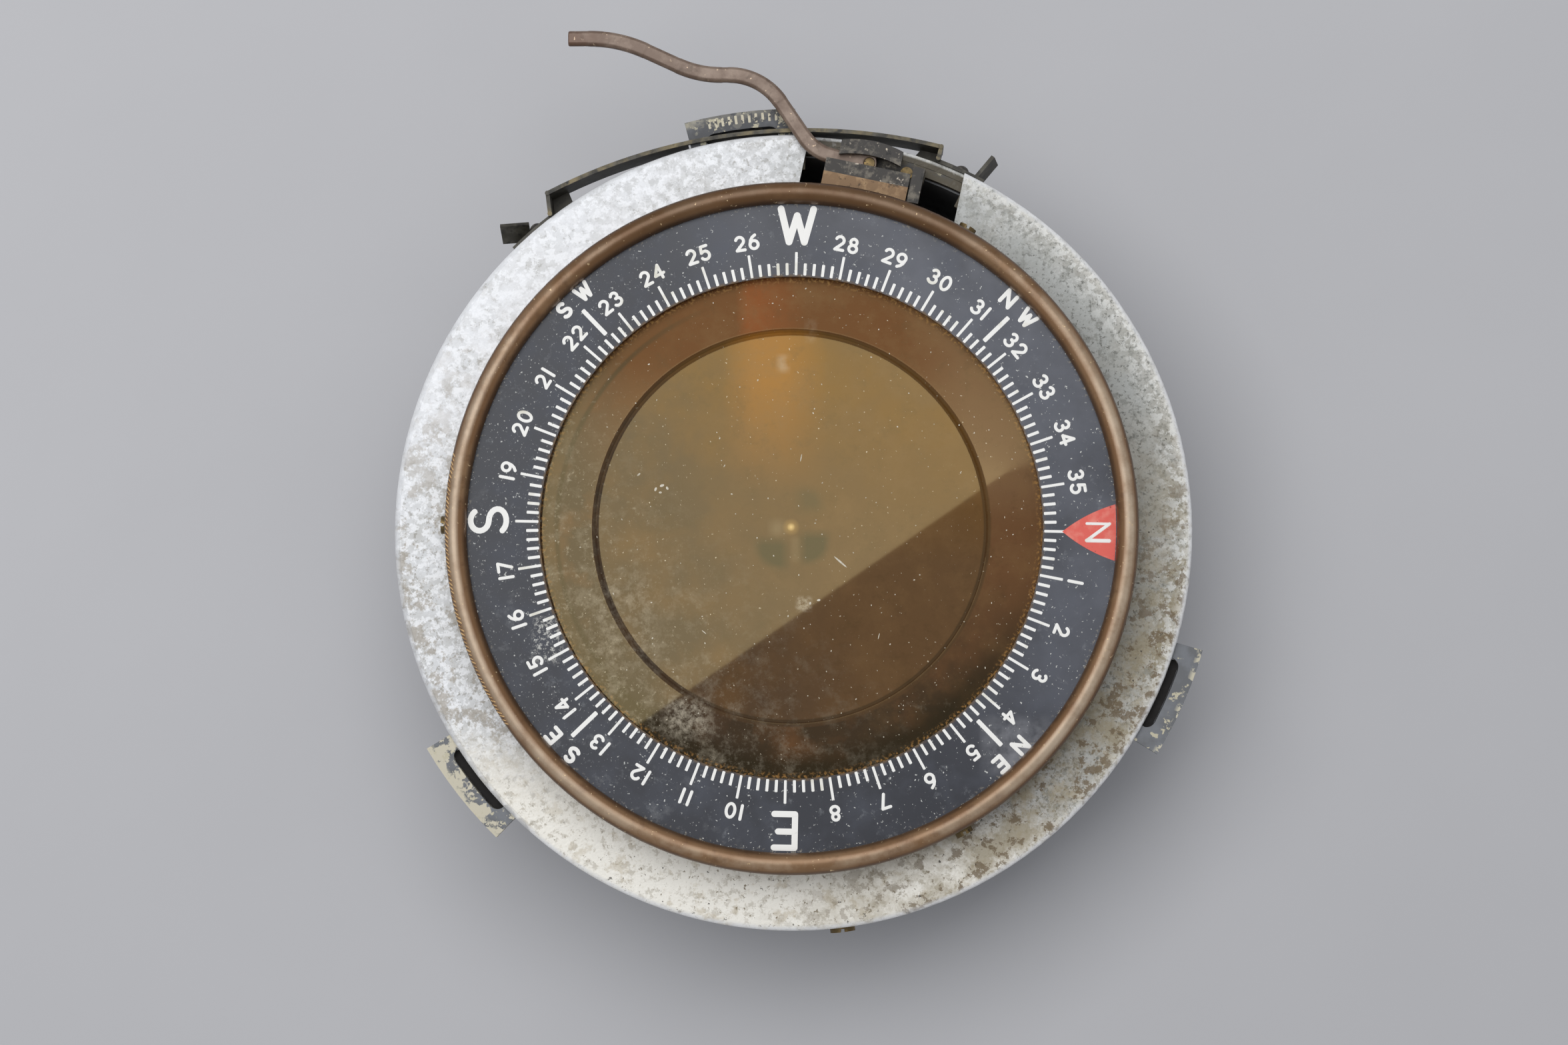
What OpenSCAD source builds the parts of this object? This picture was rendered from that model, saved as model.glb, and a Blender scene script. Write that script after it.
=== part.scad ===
// Aircraft compass: a case with a cover, a turning bearing ring, a magnet system and a ring clamp.
// Millimetres. Z is the compass axis, z = 0 is the underside, +Y is the side of the ring clamp.

/* [Case] */
// Outer radius of the case wall
case_r = 74.3; // [73:0.1:78]
// Thickness of the case wall
case_wall = 2; // [1.5:0.1:2.6]
// Thickness of the case floor
case_floor = 2.5; // [2.2:0.1:4]
// Height of the case rim
case_h = 36.2; // [34:0.2:44]
// Rounding between floor and wall
case_corner = 6; // [3:0.5:10]
// Thickness of the rubber ring under the bowl
pad_t = 4; // [3.6:0.1:6]

/* [Mounting ring] */
// Thickness of the mounting ring
mount_t = 2.2; // [1.8:0.1:3]
// Width of the flat band inside the lugs
mount_band = 4.7; // [4:0.1:5.5]
// Reach of the lugs past the case wall
lug_reach = 7.1; // [7:0.1:10]
// Angle that one lug covers
lug_span = 15.2; // [13:0.1:18]
// Direction of the first lug
lug_angle = 97.2; // [92:0.1:102]
// Angle between the two lugs opposite the one with the scale
lug_pair = 117.4; // [112:0.2:124]
// Angle that one slot covers
slot_span = 10.7; // [7:0.1:11]
// Width of a slot
slot_w = 3.5; // [2.5:0.1:3.6]
// Metal outside a slot
lug_bar = 3.3; // [2.6:0.1:3.4]

/* [Cover] */
// Thickness of the cover plate
cover_t = 1.6; // [1.4:0.1:3]
// Thickness of the cover skirt
cover_skirt_t = 1.6; // [1.3:0.1:2.4]
// Depth of the skirt below the plate
cover_skirt_h = 10.4; // [8:0.2:14]
// Clearance between skirt and case
cover_fit = 0.3; // [0.1:0.05:0.5]
// Rounding of the outer edge
cover_edge = 1.1; // [0.5:0.1:1.2]
// Gap between cover and bearing ring
cover_gap = 0.7; // [0.4:0.1:1.5]
// Notch to the left of the clamp line
notch_left = 12.5; // [12:0.1:14]
// Notch to the right of the clamp line
notch_right = 18.2; // [14:0.1:20]
// Direction of the first cover screw
cover_screw_angle = -82.9; // [-86:0.1:-80]

/* [Bearing ring] */
// Room for the clamp between the turning ring and the outside of the case
ring_room = 9.7; // [9.1:0.1:10.7]
// Wall of the turning ring
ring_t = 2; // [1.6:0.1:2.4]
// How far the ring goes below the cover top
ring_drop = 3; // [1.5:0.1:4]
// Running clearance of the ring on the bowl rim
run_gap = 0.1; // [0.05:0.01:0.1]
// Radius of the window in the dial
window_r = 47.3; // [45:0.1:48]
// Thickness of the dial plate
dial_t = 1; // [0.8:0.1:1.6]
// Width of the bezel bead
bezel_w = 4.1; // [3.6:0.1:5]
// Bezel overhang past the ring
bezel_over = 0.6; // [0.4:0.05:0.65]
// Direction of the first guide screw
guide_angle = 59.5; // [50:0.1:70]
// Head radius of a guide screw
guide_head_r = 1.7; // [1.4:0.05:2]
// Head height of a guide screw
guide_head_h = 1.7; // [1:0.05:1.8]

/* [Bowl and glass] */
// Inner radius of the bowl
bowl_in_r = 48.5; // [48.2:0.1:50]
// Wall of the bowl
bowl_wall = 2.2; // [1.6:0.1:3]
// Floor of the bowl
bowl_floor = 3; // [2.8:0.1:4]
// Thickness of the bowl flange
bowl_flange_t = 3; // [2:0.1:4]
// Wall of the rim around the glass
rim_t = 2.5; // [2.2:0.1:3]
// Thickness of the seal under the glass
seal_t = 0.8; // [0.5:0.1:1.2]
// Width of the seal under the glass
seal_w = 5; // [3:0.1:8]
// Thickness of the glass
glass_t = 1.5; // [1.2:0.1:2]
// Radius of the circle ground into the glass
glass_line_r = 37; // [30:0.1:42]
// Width of the ground circle
glass_line_w = 1.3; // [0.8:0.1:1.6]
// Thickness of the ring over the glass
retainer_t = 0.7; // [0.5:0.05:1]
// Width of the ring over the glass
retainer_w = 5; // [3:0.1:8]

/* [Magnet system] */
// Height of the needle tip over the bowl floor
pivot_h = 23.6; // [20:0.1:28]
// Radius of the pivot post
post_r = 1.8; // [1.4:0.1:2.4]
// Radius of the hub disc
hub_r = 7; // [6:0.1:10]
// Length of a bar magnet
magnet_l = 16; // [12:0.5:22]
// Width and height of a bar magnet
magnet_w = 3; // [2:0.1:3.4]
// Reach of the damping wires
wire_reach = 32; // [24:0.5:42]
// Number of damping wires
wire_n = 8; // [4:1:12]

/* [Ring clamp] */
// Direction of the clamp line
clamp_angle = 78; // [74:0.1:80]
// Distance of the lever pin inside the case wall
pin_inset = 2.7; // [2.4:0.1:3]
// Radius of the lever pin
pin_r = 1; // [0.8:0.05:1.1]
// Radius of the cam
cam_r = 2.4; // [2.3:0.05:2.5]
// Offset of the cam from the pin
cam_offset = 1; // [0.8:0.05:1]
// Width of the lever bar
bar_w = 3; // [2.4:0.1:3.2]
// Height of the lever bar
bar_h = 1.9; // [1.4:0.1:2]
// Half width of the brake shoe
shoe_half = 8.2; // [7:0.1:8.4]
// Gap between shoe and ring when released
pad_gap = 0.55; // [0.5:0.05:0.7]
// Height of the shoe over the cover
shoe_rise = 3.4; // [3.2:0.1:4]

/* [Spring strip] */
// Thickness of the strip
strip_t = 0.75; // [0.5:0.05:1]
// Height of the strip
strip_h = 8; // [5:0.2:9]
// Radius of the long bend
strip_bend = 107; // [100:1:120]
// Direction where the strip is closest to the cover
strip_angle = 94; // [92:0.5:96]

/* [Hidden] */
$fn = 96;

fit = 0.02;
bar_lap = 0.5;
ring_r = case_r - ring_room;
mount_top = case_h + mount_t;
cover_top = mount_top + cover_t;
cover_r = case_r + cover_fit + cover_skirt_t;
cover_bore = ring_r + cover_gap;
lug_r = case_r + lug_reach;
slot_out_r = lug_r - lug_bar;
slot_in_r = slot_out_r - slot_w;
slot_mid_r = (slot_in_r + slot_out_r) / 2;
slot_turn = slot_span / 2 - asin(slot_w / 2 / slot_mid_r);
lug_at = [lug_angle, lug_angle + 180 - lug_pair / 2, lug_angle + 180 + lug_pair / 2];
cover_screw_z = mount_top - cover_skirt_h / 2;
head_r = 2.4;
head_t = 1.1;
head_seat = 0.8;
head_at = [cover_r, cover_r - head_seat, cover_r - head_seat];  // the first screw has worked loose
notch_low = mount_top - 1.4;

shoe_top = cover_top + shoe_rise;
guide_z = shoe_top + 0.3 + guide_head_r;
guide_shank_r = 1;
ring_in_r = ring_r - ring_t;
ring_low = cover_top - ring_drop;
bezel_low = guide_z + guide_head_r + 0.1;
ring_top = bezel_low + 0.5;
dial_top = ring_top + dial_t;
bezel_r = ring_r + bezel_over;
bead_r = bezel_w / 2;
bead_z = dial_top + 0.5;

rim_r = ring_in_r - run_gap;
rim_bore = rim_r - rim_t;
rim_top = ring_top - 0.4;
glass_top = rim_top - retainer_t;
glass_low = glass_top - glass_t;
seal_low = glass_low - seal_t;
groove_r = rim_r - 1.2;
groove_half = guide_shank_r + 0.2;
tip_r = groove_r + 0.3;
bowl_low = case_floor + pad_t;
floor_top = bowl_low + bowl_floor;
bowl_out_r = bowl_in_r + bowl_wall;
bowl_screw_r = 36;
bowl_screw_shank = 1.6;
vent_r = 14;
membrane_t = 0.4;
clamp_ring_t = 1.5;
clamp_ring_r = 19;
membrane_screw_r = 16.5;
bridge_screw_r = 23;
bridge_t = 2;
bridge_boss = 3.5;
filler_angle = -30;
filler_z = floor_top + 15;
filler_face = bowl_out_r + 2.3;
filler_r = 3;
washer_t = 0.8;

tip_z = floor_top + pivot_h;
needle_r = 0.5;
needle_cone = 2.2;
needle_low = tip_z - 7;
post_top = tip_z - 4;
jewel_low = tip_z - 0.65;
jewel_r = 1.5;
jewel_t = 1.5;
hub_disc_z = jewel_low + jewel_t;
hub_disc_t = 1.2;
hub_boss_r = 2.6;

pin_v = case_r - pin_inset;
base_t = 1.2;
base_top = mount_top + base_t;
bar_low = cover_top + 0.4;
bar_top = bar_low + bar_h;
cam_low = base_top + 0.2;
lip_low = bar_top + 0.3;
shoe_low = base_top + 0.3;
pad_v = ring_r + pad_gap;
holder_v = pad_v + 1.75;
lip_v = pad_v + 3.15;
holder_back = pin_v - cam_r - 0.2;
lip_back = pin_v - 0.7;
cheek_in = shoe_half + 0.3;
cheek_t = 2.2;
bracket_front = ring_r + 1;
arch_half = 6;
arch_r = 20;
arch_v = case_r + 1.3;
hood_low = lip_low + 0.1;
hood_t = 1.3;
shoe_pin_u = 4;
bracket_holes = [[-6.6, pin_v - 0.6, 0.8], [7.3, pin_v - 0.1, 0.8]];
well_right = [asin((cheek_in + cheek_t + 0.2) / (case_r - 2)), asin(notch_right / (case_r - 2))];
well_left = [asin((shoe_half + 0.2) / (case_r - 2)), asin(notch_left / (case_r - 2))];
well_wall = 1.7;

strip_top = cover_top - 0.2;
strip_low = strip_top - strip_h;
strip_mid = cover_r + 0.7;
strip_centre = (strip_mid - strip_bend) * [cos(strip_angle), sin(strip_angle)];
strip_a0 = strip_angle - 18.4;
strip_a1 = strip_angle + 23.4;
foot_left = strip_centre + strip_bend * [cos(strip_a1), sin(strip_a1)];
foot_right = strip_centre + strip_bend * [cos(strip_a0), sin(strip_a0)];
wall_mid = cover_r + strip_t / 2 + 0.2;
lug_clear = 0.3;
tail_left = 127.4;
tail_right = 68.5;
tail_span = 7.2;
tail_top = strip_top - 2;
web_turn = asin(3.7 / strip_bend);
web_span = 3.6;
hook_l = 5.6;
hook_h = 4.6;
rivet_r = 0.7;
rivet_head_r = 1.35;
rivet_head_h = 0.9;
rivet_dome_r = 1.6;
rivet_z = strip_low + 3.6;
rivet_at = [tail_left + 2.9, tail_right - 3.75];

// A ring around the compass axis
module ring(r_in, r_out, z0, z1) {
    difference() {
        translate([0, 0, z0]) cylinder(r = r_out, h = z1 - z0);
        translate([0, 0, z0 - 1]) cylinder(r = r_in, h = z1 - z0 + 2);
    }
}

// A piece of a ring between two directions
module sector(r_in, r_out, z0, z1, a0, span) {
    rotate([0, 0, a0])
        rotate_extrude(angle = span) translate([r_in, z0]) square([r_out - r_in, z1 - z0]);
}

// A cylinder that points away from the axis
module radial(angle, z, r_from, r_to, r) {
    rotate([0, 0, angle]) translate([r_from, 0, z]) rotate([0, 90, 0]) cylinder(r = r, h = r_to - r_from);
}

// A slot across the head of a radial screw
module radial_slot(angle, z, r_at, w, l) {
    rotate([0, 0, angle]) translate([r_at, -w / 2, z - l]) cube([3, w, 2 * l]);
}

// Places things on the clamp line: X to the right, Y outward
module on_clamp() {
    rotate([0, 0, clamp_angle - 90]) children();
}

module outer_case() {
    color("#8d8f92")
    difference() {
        rotate_extrude() difference() {
            union() {
                square([case_r - case_corner, case_h]);
                translate([0, case_corner]) square([case_r, case_h - case_corner]);
                translate([case_r - case_corner, case_corner]) circle(r = case_corner);
            }
            translate([-1, case_floor]) square([case_r - case_wall - case_corner + 1, case_h]);
            translate([-1, case_corner + case_floor]) square([case_r - case_wall + 1, case_h]);
            translate([case_r - case_wall - case_corner, case_corner + case_floor]) circle(r = case_corner);
            translate([-2 * case_r, -1]) square([2 * case_r, 2 * case_h]);
        }
        for (a = [30, 150, 270]) rotate([0, 0, a]) translate([bowl_screw_r, 0, 0]) {
            translate([0, 0, -1]) cylinder(r = bowl_screw_shank + 0.1, h = case_floor + 2);
            translate([0, 0, -0.01]) cylinder(r1 = 3.3, r2 = bowl_screw_shank, h = 1.75);
        }
        for (i = [0:2])
            radial(cover_screw_angle + 120 * i, cover_screw_z, case_r - case_wall - 1, case_r + 1, 1.25 + fit);
    }
}

module case_pad() {
    color("#2b2b2b")
    difference() {
        ring(bowl_screw_r - 10, bowl_screw_r + 10, case_floor, bowl_low);
        for (a = [30, 150, 270]) rotate([0, 0, a])
            translate([bowl_screw_r, 0, case_floor - 1]) cylinder(r = bowl_screw_shank + 0.3, h = pad_t + 2);
    }
}

module bowl_screws() {
    color("#a58f5c")
    for (a = [30, 150, 270]) rotate([0, 0, a]) translate([bowl_screw_r, 0, 0]) difference() {
        union() {
            translate([0, 0, 0.1]) cylinder(r1 = 3, r2 = bowl_screw_shank, h = 1.5);
            translate([0, 0, 1.5]) cylinder(r = bowl_screw_shank, h = bowl_low + 2 - 1.5);
        }
        translate([-4, -0.4, -1]) cube([8, 0.8, 1.7]);
    }
}

module mounting_ring() {
    color("#7f8178")
    difference() {
        union() {
            ring(case_r - mount_band, case_r, case_h, mount_top);
            for (mid = lug_at) sector(case_r - 1, lug_r, case_h, mount_top, mid - lug_span / 2, lug_span);
        }
        for (mid = lug_at) {
            sector(slot_in_r, slot_out_r, case_h - 1, mount_top + 1, mid - slot_turn, 2 * slot_turn);
            for (end = [-slot_turn, slot_turn])
                rotate([0, 0, mid + end]) translate([slot_mid_r, 0, case_h - 1]) cylinder(r = slot_w / 2 - 0.05, h = mount_t + 2);
        }
        sector(case_r - mount_band - 1, case_r - well_wall, case_h - 1, mount_top + 1, clamp_angle - well_right[1],
            well_right[1] - well_right[0]);
        sector(case_r - mount_band - 1, case_r - well_wall, case_h - 1, mount_top + 1, clamp_angle + well_left[0],
            well_left[1] - well_left[0]);
        on_clamp() for (p = concat([[0, pin_v, pin_r]], bracket_holes))
            translate([p[0], p[1], case_h - 1]) cylinder(r = p[2] + fit, h = mount_t + 2);
    }
}

module cover_flange() {
    color("#d6d6d8")
    difference() {
        rotate_extrude() difference() {
            union() {
                translate([cover_bore, mount_top]) square([cover_r - cover_edge - cover_bore, cover_t]);
                translate([cover_r - cover_skirt_t, mount_top - cover_skirt_h])
                    square([cover_skirt_t, cover_skirt_h + cover_t - cover_edge]);
                translate([cover_r - cover_edge, cover_top - cover_edge]) circle(r = cover_edge);
            }
            translate([cover_bore - 1, 0]) square([cover_r - cover_skirt_t - cover_bore + 1, mount_top]);
        }
        for (mid = lug_at)
            sector(cover_r - 4, cover_r + 1, mount_top - cover_skirt_h - 1, mount_top, mid - lug_span / 2 - 0.4,
                lug_span + 0.8);
        for (i = [0:2]) {
            radial(cover_screw_angle + 120 * i, cover_screw_z, cover_r - 5, cover_r + 1, 1.25 + 0.1);
            radial(cover_screw_angle + 120 * i, cover_screw_z, cover_r - head_seat, cover_r + 1, head_r + 0.1);
        }
        on_clamp() translate([-notch_left, 40, notch_low]) cube([notch_left + notch_right, 60, 12]);
        for (a = rivet_at) radial(a, rivet_z, cover_r - 4, cover_r + 1, rivet_r + fit);
    }
}

module cover_screws() {
    color("#7d6a45")
    for (i = [0:2]) difference() {
        union() {
            radial(cover_screw_angle + 120 * i, cover_screw_z, case_r - case_wall - 0.6, cover_r, 1.25);
            radial(cover_screw_angle + 120 * i, cover_screw_z, head_at[i], head_at[i] + head_t, head_r);
        }
        radial_slot(cover_screw_angle + 120 * i, cover_screw_z, head_at[i] + head_t - 0.6, 0.7, 3);
    }
}

// One straight length of strip standing on edge between two points
module strip_wall(p, q) {
    d = q - p;
    translate([p[0], p[1], strip_low + 0.08]) rotate([0, 0, atan2(d[1], d[0])])
        translate([0, -strip_t / 2, 0]) cube([norm(d), strip_t, strip_h - 0.16]);
    for (c = [p, q]) translate([c[0], c[1], strip_low - 0.08]) cylinder(r = strip_t / 2 + 0.08, h = strip_h + 0.16);
}

// A low web between the strip's end, its foot and the skirt
module strip_web(end, along, a0, turn) {
    translate([0, 0, strip_low + 0.6]) linear_extrude(strip_t)
        polygon([end, along, (cover_r + 0.2) * [cos(a0 + turn), sin(a0 + turn)], (cover_r + 0.2) * [cos(a0), sin(a0)]]);
}

// A tail along the skirt whose end is bent out to a hook that leans outward
module strip_tail(a0, hook_from, out, lean) {
    sector(cover_r + 2 * fit, cover_r + strip_t, strip_low, tail_top, a0, tail_span);
    rotate([0, 0, a0 + hook_from]) translate([cover_r + strip_t / 2, 0, strip_low + 0.3]) rotate([0, 0, -out])
        rotate([0, lean, 0]) translate([-strip_t / 2, -0.3, 0]) cube([strip_t, hook_l, hook_h]);
}

module spring_strip() {
    color("#7a6a48")
    difference() {
        union() {
            translate([strip_centre[0], strip_centre[1], 0])
                sector(strip_bend - strip_t / 2, strip_bend + strip_t / 2, strip_low, strip_top, strip_a0,
                    strip_a1 - strip_a0);
            strip_wall(foot_left, wall_mid * [cos(tail_left), sin(tail_left)]);
            strip_wall(foot_right, wall_mid * [cos(tail_right), sin(tail_right)]);
            strip_web(foot_left, strip_centre + strip_bend * [cos(strip_a1 - web_turn), sin(strip_a1 - web_turn)],
                tail_left, -web_span);
            strip_web(foot_right, strip_centre + strip_bend * [cos(strip_a0 + web_turn), sin(strip_a0 + web_turn)],
                tail_right, web_span);
            strip_tail(tail_left, 4.6, 38, 38);
            mirror([1, 0, 0]) strip_tail(180 - tail_right, tail_span - 0.5, 78, 14);
        }
        for (a = rivet_at) radial(a, rivet_z, cover_r - 4, cover_r + 1.2, rivet_r + fit);
        sector(cover_r - 2, lug_r + 2, strip_low - 1, mount_top + lug_clear, lug_angle - lug_span / 2 - lug_clear,
            lug_span + 2 * lug_clear);
    }
}

module strip_rivets() {
    color("#8a7a55")
    for (a = rivet_at) {
        radial(a, rivet_z, cover_r - 1, cover_r + strip_t + 0.2, rivet_r);
        rotate([0, 0, a]) translate([cover_r + strip_t + 0.05, 0, rivet_z]) rotate([0, 90, 0])
            rotate_extrude() intersection() {
                translate([0, rivet_head_h + 0.05 - rivet_dome_r]) circle(r = rivet_dome_r);
                square([rivet_head_r, rivet_head_h]);
            }
    }
}

module bowl() {
    color("#7a5a38")
    difference() {
        union() {
            rotate_extrude() difference() {
                union() {
                    translate([0, bowl_low]) square([bowl_out_r, bowl_floor]);
                    translate([bowl_in_r, bowl_low]) square([bowl_wall, seal_low - bowl_low]);
                    translate([bowl_in_r, seal_low - bowl_flange_t]) square([rim_r - bowl_in_r, bowl_flange_t]);
                    translate([rim_bore, seal_low - bowl_flange_t])
                        square([rim_t, rim_top - seal_low + bowl_flange_t]);
                }
                translate([groove_r, guide_z - groove_half]) square([3, 2 * groove_half]);
                translate([-1, bowl_low - 1]) square([vent_r + 1, bowl_floor + 2]);
            }
            radial(filler_angle, filler_z, bowl_in_r + 0.8, filler_face, 6);
        }
        radial(filler_angle, filler_z, bowl_in_r - 3, filler_face + 1, filler_r + fit);
        for (a = [30, 150, 270]) rotate([0, 0, a])
            translate([bowl_screw_r, 0, bowl_low - 1]) cylinder(r = bowl_screw_shank + fit, h = 3.2);
        for (i = [0:5]) rotate([0, 0, 60 * i])
            translate([membrane_screw_r, 0, bowl_low - 1]) cylinder(r = 0.8 + fit, h = 3.2);
        for (s = [-1, 1])
            translate([s * bridge_screw_r, 0, floor_top - 2]) cylinder(r = 1 + fit, h = 4);
    }
}

module glass_seal() {
    color("#3a2a20")
    ring(rim_bore - 0.3 - seal_w, rim_bore - 0.3, seal_low, glass_low);
}

module bowl_glass() {
    color("#b07a3c", 0.6)
    difference() {
        translate([0, 0, glass_low]) cylinder(r = rim_bore - 0.2, h = glass_t);
        rotate_extrude() translate([glass_line_r, glass_top])
            polygon([[-glass_line_w / 2, 0], [0, -0.45], [glass_line_w / 2, 0], [glass_line_w / 2, 1],
                [-glass_line_w / 2, 1]]);
    }
}

module glass_retainer() {
    color("#8a6a3a")
    difference() {
        ring(rim_bore - retainer_w, rim_bore - fit, glass_top, rim_top);
        for (a = [0, 180]) rotate([0, 0, a])
            translate([rim_bore - retainer_w / 2, 0, glass_top - 1]) cylinder(r = 0.8, h = 4);
    }
}

module filler_plug() {
    color("#9a7b45")
    difference() {
        union() {
            radial(filler_angle, filler_z, bowl_in_r + 0.6, filler_face + washer_t, filler_r);
            radial(filler_angle, filler_z, filler_face + washer_t, filler_face + washer_t + 2.4, 4.6);
        }
        radial_slot(filler_angle, filler_z, filler_face + washer_t + 1.2, 1, 6);
    }
}

module filler_washer() {
    color("#4a2f22")
    difference() {
        radial(filler_angle, filler_z, filler_face, filler_face + washer_t, 4.8);
        radial(filler_angle, filler_z, filler_face - 1, filler_face + washer_t + 1, filler_r + 0.1);
    }
}

module expansion_diaphragm() {
    color("#b08d4f")
    difference() {
        rotate_extrude() {
            translate([0, bowl_low - membrane_t]) {
                square([3.2, membrane_t]);
                translate([4.8, 0]) square([2.4, membrane_t]);
                translate([8.8, 0]) square([2.4, membrane_t]);
                translate([12.8, 0]) square([clamp_ring_r - 12.8, membrane_t]);
                for (x = [4, 8, 12]) translate([x, 0]) intersection() {
                    difference() {
                        circle(r = 1.2);
                        circle(r = 0.8);
                    }
                    translate([-2, 0]) square([4, 2]);
                }
            }
        }
        for (i = [0:5]) rotate([0, 0, 60 * i])
            translate([membrane_screw_r, 0, bowl_low - 3]) cylinder(r = 0.8 + 0.05, h = 4);
    }
}

module diaphragm_clamp() {
    color("#8a6a3a")
    difference() {
        ring(vent_r + 0.2, clamp_ring_r, bowl_low - membrane_t - clamp_ring_t, bowl_low - membrane_t);
        for (i = [0:5]) rotate([0, 0, 60 * i])
            translate([membrane_screw_r, 0, bowl_low - 5]) cylinder(r = 0.8 + 0.05, h = 6);
    }
}

module diaphragm_screws() {
    color("#a58f5c")
    for (i = [0:5]) rotate([0, 0, 60 * i])
        translate([membrane_screw_r, 0, bowl_low - membrane_t - clamp_ring_t]) {
            cylinder(r = 0.8, h = membrane_t + clamp_ring_t + 2);
            translate([0, 0, -1]) cylinder(r = 1.5, h = 1);
        }
}

module pivot_bridge() {
    color("#8a6a3a")
    difference() {
        union() {
            translate([-26, -4, floor_top]) cube([52, 8, bridge_t]);
            translate([0, 0, floor_top]) cylinder(r = 4.5, h = bridge_boss);
        }
        translate([0, 0, floor_top + 0.8]) cylinder(r = post_r + fit, h = bridge_boss);
        for (s = [-1, 1]) translate([s * bridge_screw_r, 0, floor_top - 1]) cylinder(r = 1.05, h = 6);
    }
}

module bridge_screws() {
    color("#a58f5c")
    for (s = [-1, 1]) translate([s * bridge_screw_r, 0, floor_top]) {
        translate([0, 0, -1.9]) cylinder(r = 1, h = bridge_t + 1.9);
        translate([0, 0, bridge_t]) cylinder(r = 1.9, h = 1.2);
    }
}

module pivot_post() {
    color("#a4834a")
    difference() {
        translate([0, 0, floor_top + 0.8]) cylinder(r = post_r, h = post_top - floor_top - 0.8);
        translate([0, 0, needle_low]) cylinder(r = needle_r + fit, h = 20);
    }
}

module pivot_needle() {
    color("#c9c9cc")
    translate([0, 0, needle_low]) {
        cylinder(r = needle_r, h = tip_z - needle_cone - needle_low);
        translate([0, 0, tip_z - needle_cone - needle_low]) cylinder(r1 = needle_r, r2 = 0.06, h = needle_cone);
    }
}

// Outline of the arched back of the clamp, cut to a wall or a hood
module arch_outline(depth) {
    difference() {
        intersection() {
            translate([-arch_half, arch_v - 5]) square([2 * arch_half, 10]);
            translate([0, arch_v - arch_r]) circle(r = arch_r, $fn = 128);
        }
        translate([0, arch_v - depth - arch_r]) circle(r = arch_r, $fn = 128);
    }
}

module clamp_bracket() {
    color("#5d574c")
    on_clamp() difference() {
        union() {
            translate([-shoe_half, bracket_front, mount_top])
                cube([shoe_half + cheek_in + cheek_t, pin_v + 1.4 - bracket_front, base_t]);
            translate([-arch_half, bracket_front, mount_top])
                cube([2 * arch_half, arch_v - 1.2 - bracket_front, base_t]);
            translate([cheek_in, bracket_front, mount_top])
                cube([cheek_t, pin_v + 0.9 - bracket_front, shoe_top - mount_top]);
            translate([0, 0, mount_top]) linear_extrude(hood_low - mount_top + 0.1) arch_outline(1.2);
            translate([0, 0, hood_low]) linear_extrude(hood_t) arch_outline(2.8);
        }
        for (p = concat([[0, pin_v, pin_r]], bracket_holes))
            translate([p[0], p[1], mount_top - 1]) cylinder(r = p[2] + fit, h = base_t + 2);
    }
}

module bracket_rivets() {
    color("#6a6356")
    on_clamp() for (p = bracket_holes) translate([p[0], p[1], case_h + 0.4]) {
        cylinder(r = p[2], h = base_top - case_h - 0.3);
        translate([0, 0, base_top - case_h - 0.4]) cylinder(r = 1.2, h = 0.5);
    }
}

module lever_pin() {
    color("#b49a5e")
    on_clamp() translate([0, pin_v, case_h + 0.4]) cylinder(r = pin_r, h = bar_top - case_h - 0.5);
}

module ring_skirt() {
    color("#7d5f3c")
    difference() {
        ring(ring_in_r, ring_r, ring_low, ring_top);
        for (i = [0:2])
            radial(guide_angle + 120 * i, guide_z, ring_in_r - 2, ring_r + 2, guide_shank_r + fit);
    }
}

module dial_plate() {
    color("#2f3238")
    ring(window_r, ring_r - 0.2, ring_top, dial_top);
}

module bezel() {
    color("#8a6f4c")
    rotate_extrude() difference() {
        union() {
            translate([bezel_r - bead_r, bead_z]) circle(r = bead_r);
            translate([bezel_r - bezel_w, dial_top]) square([bezel_w, bead_z - dial_top]);
            translate([ring_r - 0.1, bezel_low]) square([bezel_over + 0.1, bead_z - bezel_low]);
        }
        translate([bezel_r - bezel_w - 1, 0]) square([ring_r + fit - bezel_r + bezel_w + 1, dial_top]);
    }
}

module guide_screws() {
    color("#8f7347")
    for (i = [0:2]) difference() {
        union() {
            radial(guide_angle + 120 * i, guide_z, tip_r, ring_r, guide_shank_r);
            radial(guide_angle + 120 * i, guide_z, ring_r, ring_r + guide_head_h, guide_head_r);
        }
        radial_slot(guide_angle + 120 * i, guide_z, ring_r + guide_head_h - 0.6, 0.6, 3);
    }
}

module magnet_hub() {
    color("#8c8455")
    difference() {
        union() {
            translate([0, 0, tip_z - 2.6]) cylinder(r = hub_boss_r, h = hub_disc_z + 3 - tip_z + 2.6);
            translate([0, 0, hub_disc_z]) cylinder(r = hub_r, h = hub_disc_t);
        }
        translate([0, 0, tip_z - 3.6]) cylinder(r = jewel_r, h = hub_disc_z - tip_z + 3.6);
    }
}

module pivot_jewel() {
    color("#b03a4a")
    difference() {
        translate([0, 0, jewel_low]) cylinder(r = jewel_r - fit, h = jewel_t);
        translate([0, 0, jewel_low - 0.01]) cylinder(r1 = 1, r2 = 0.1, h = 0.8);
    }
}

module bar_magnets() {
    color("#4a4d52")
    for (s = [-1, 1])
        translate([-magnet_l / 2, s * 4.8 - magnet_w / 2, hub_disc_z - magnet_w])
            cube([magnet_l, magnet_w, magnet_w]);
}

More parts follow.
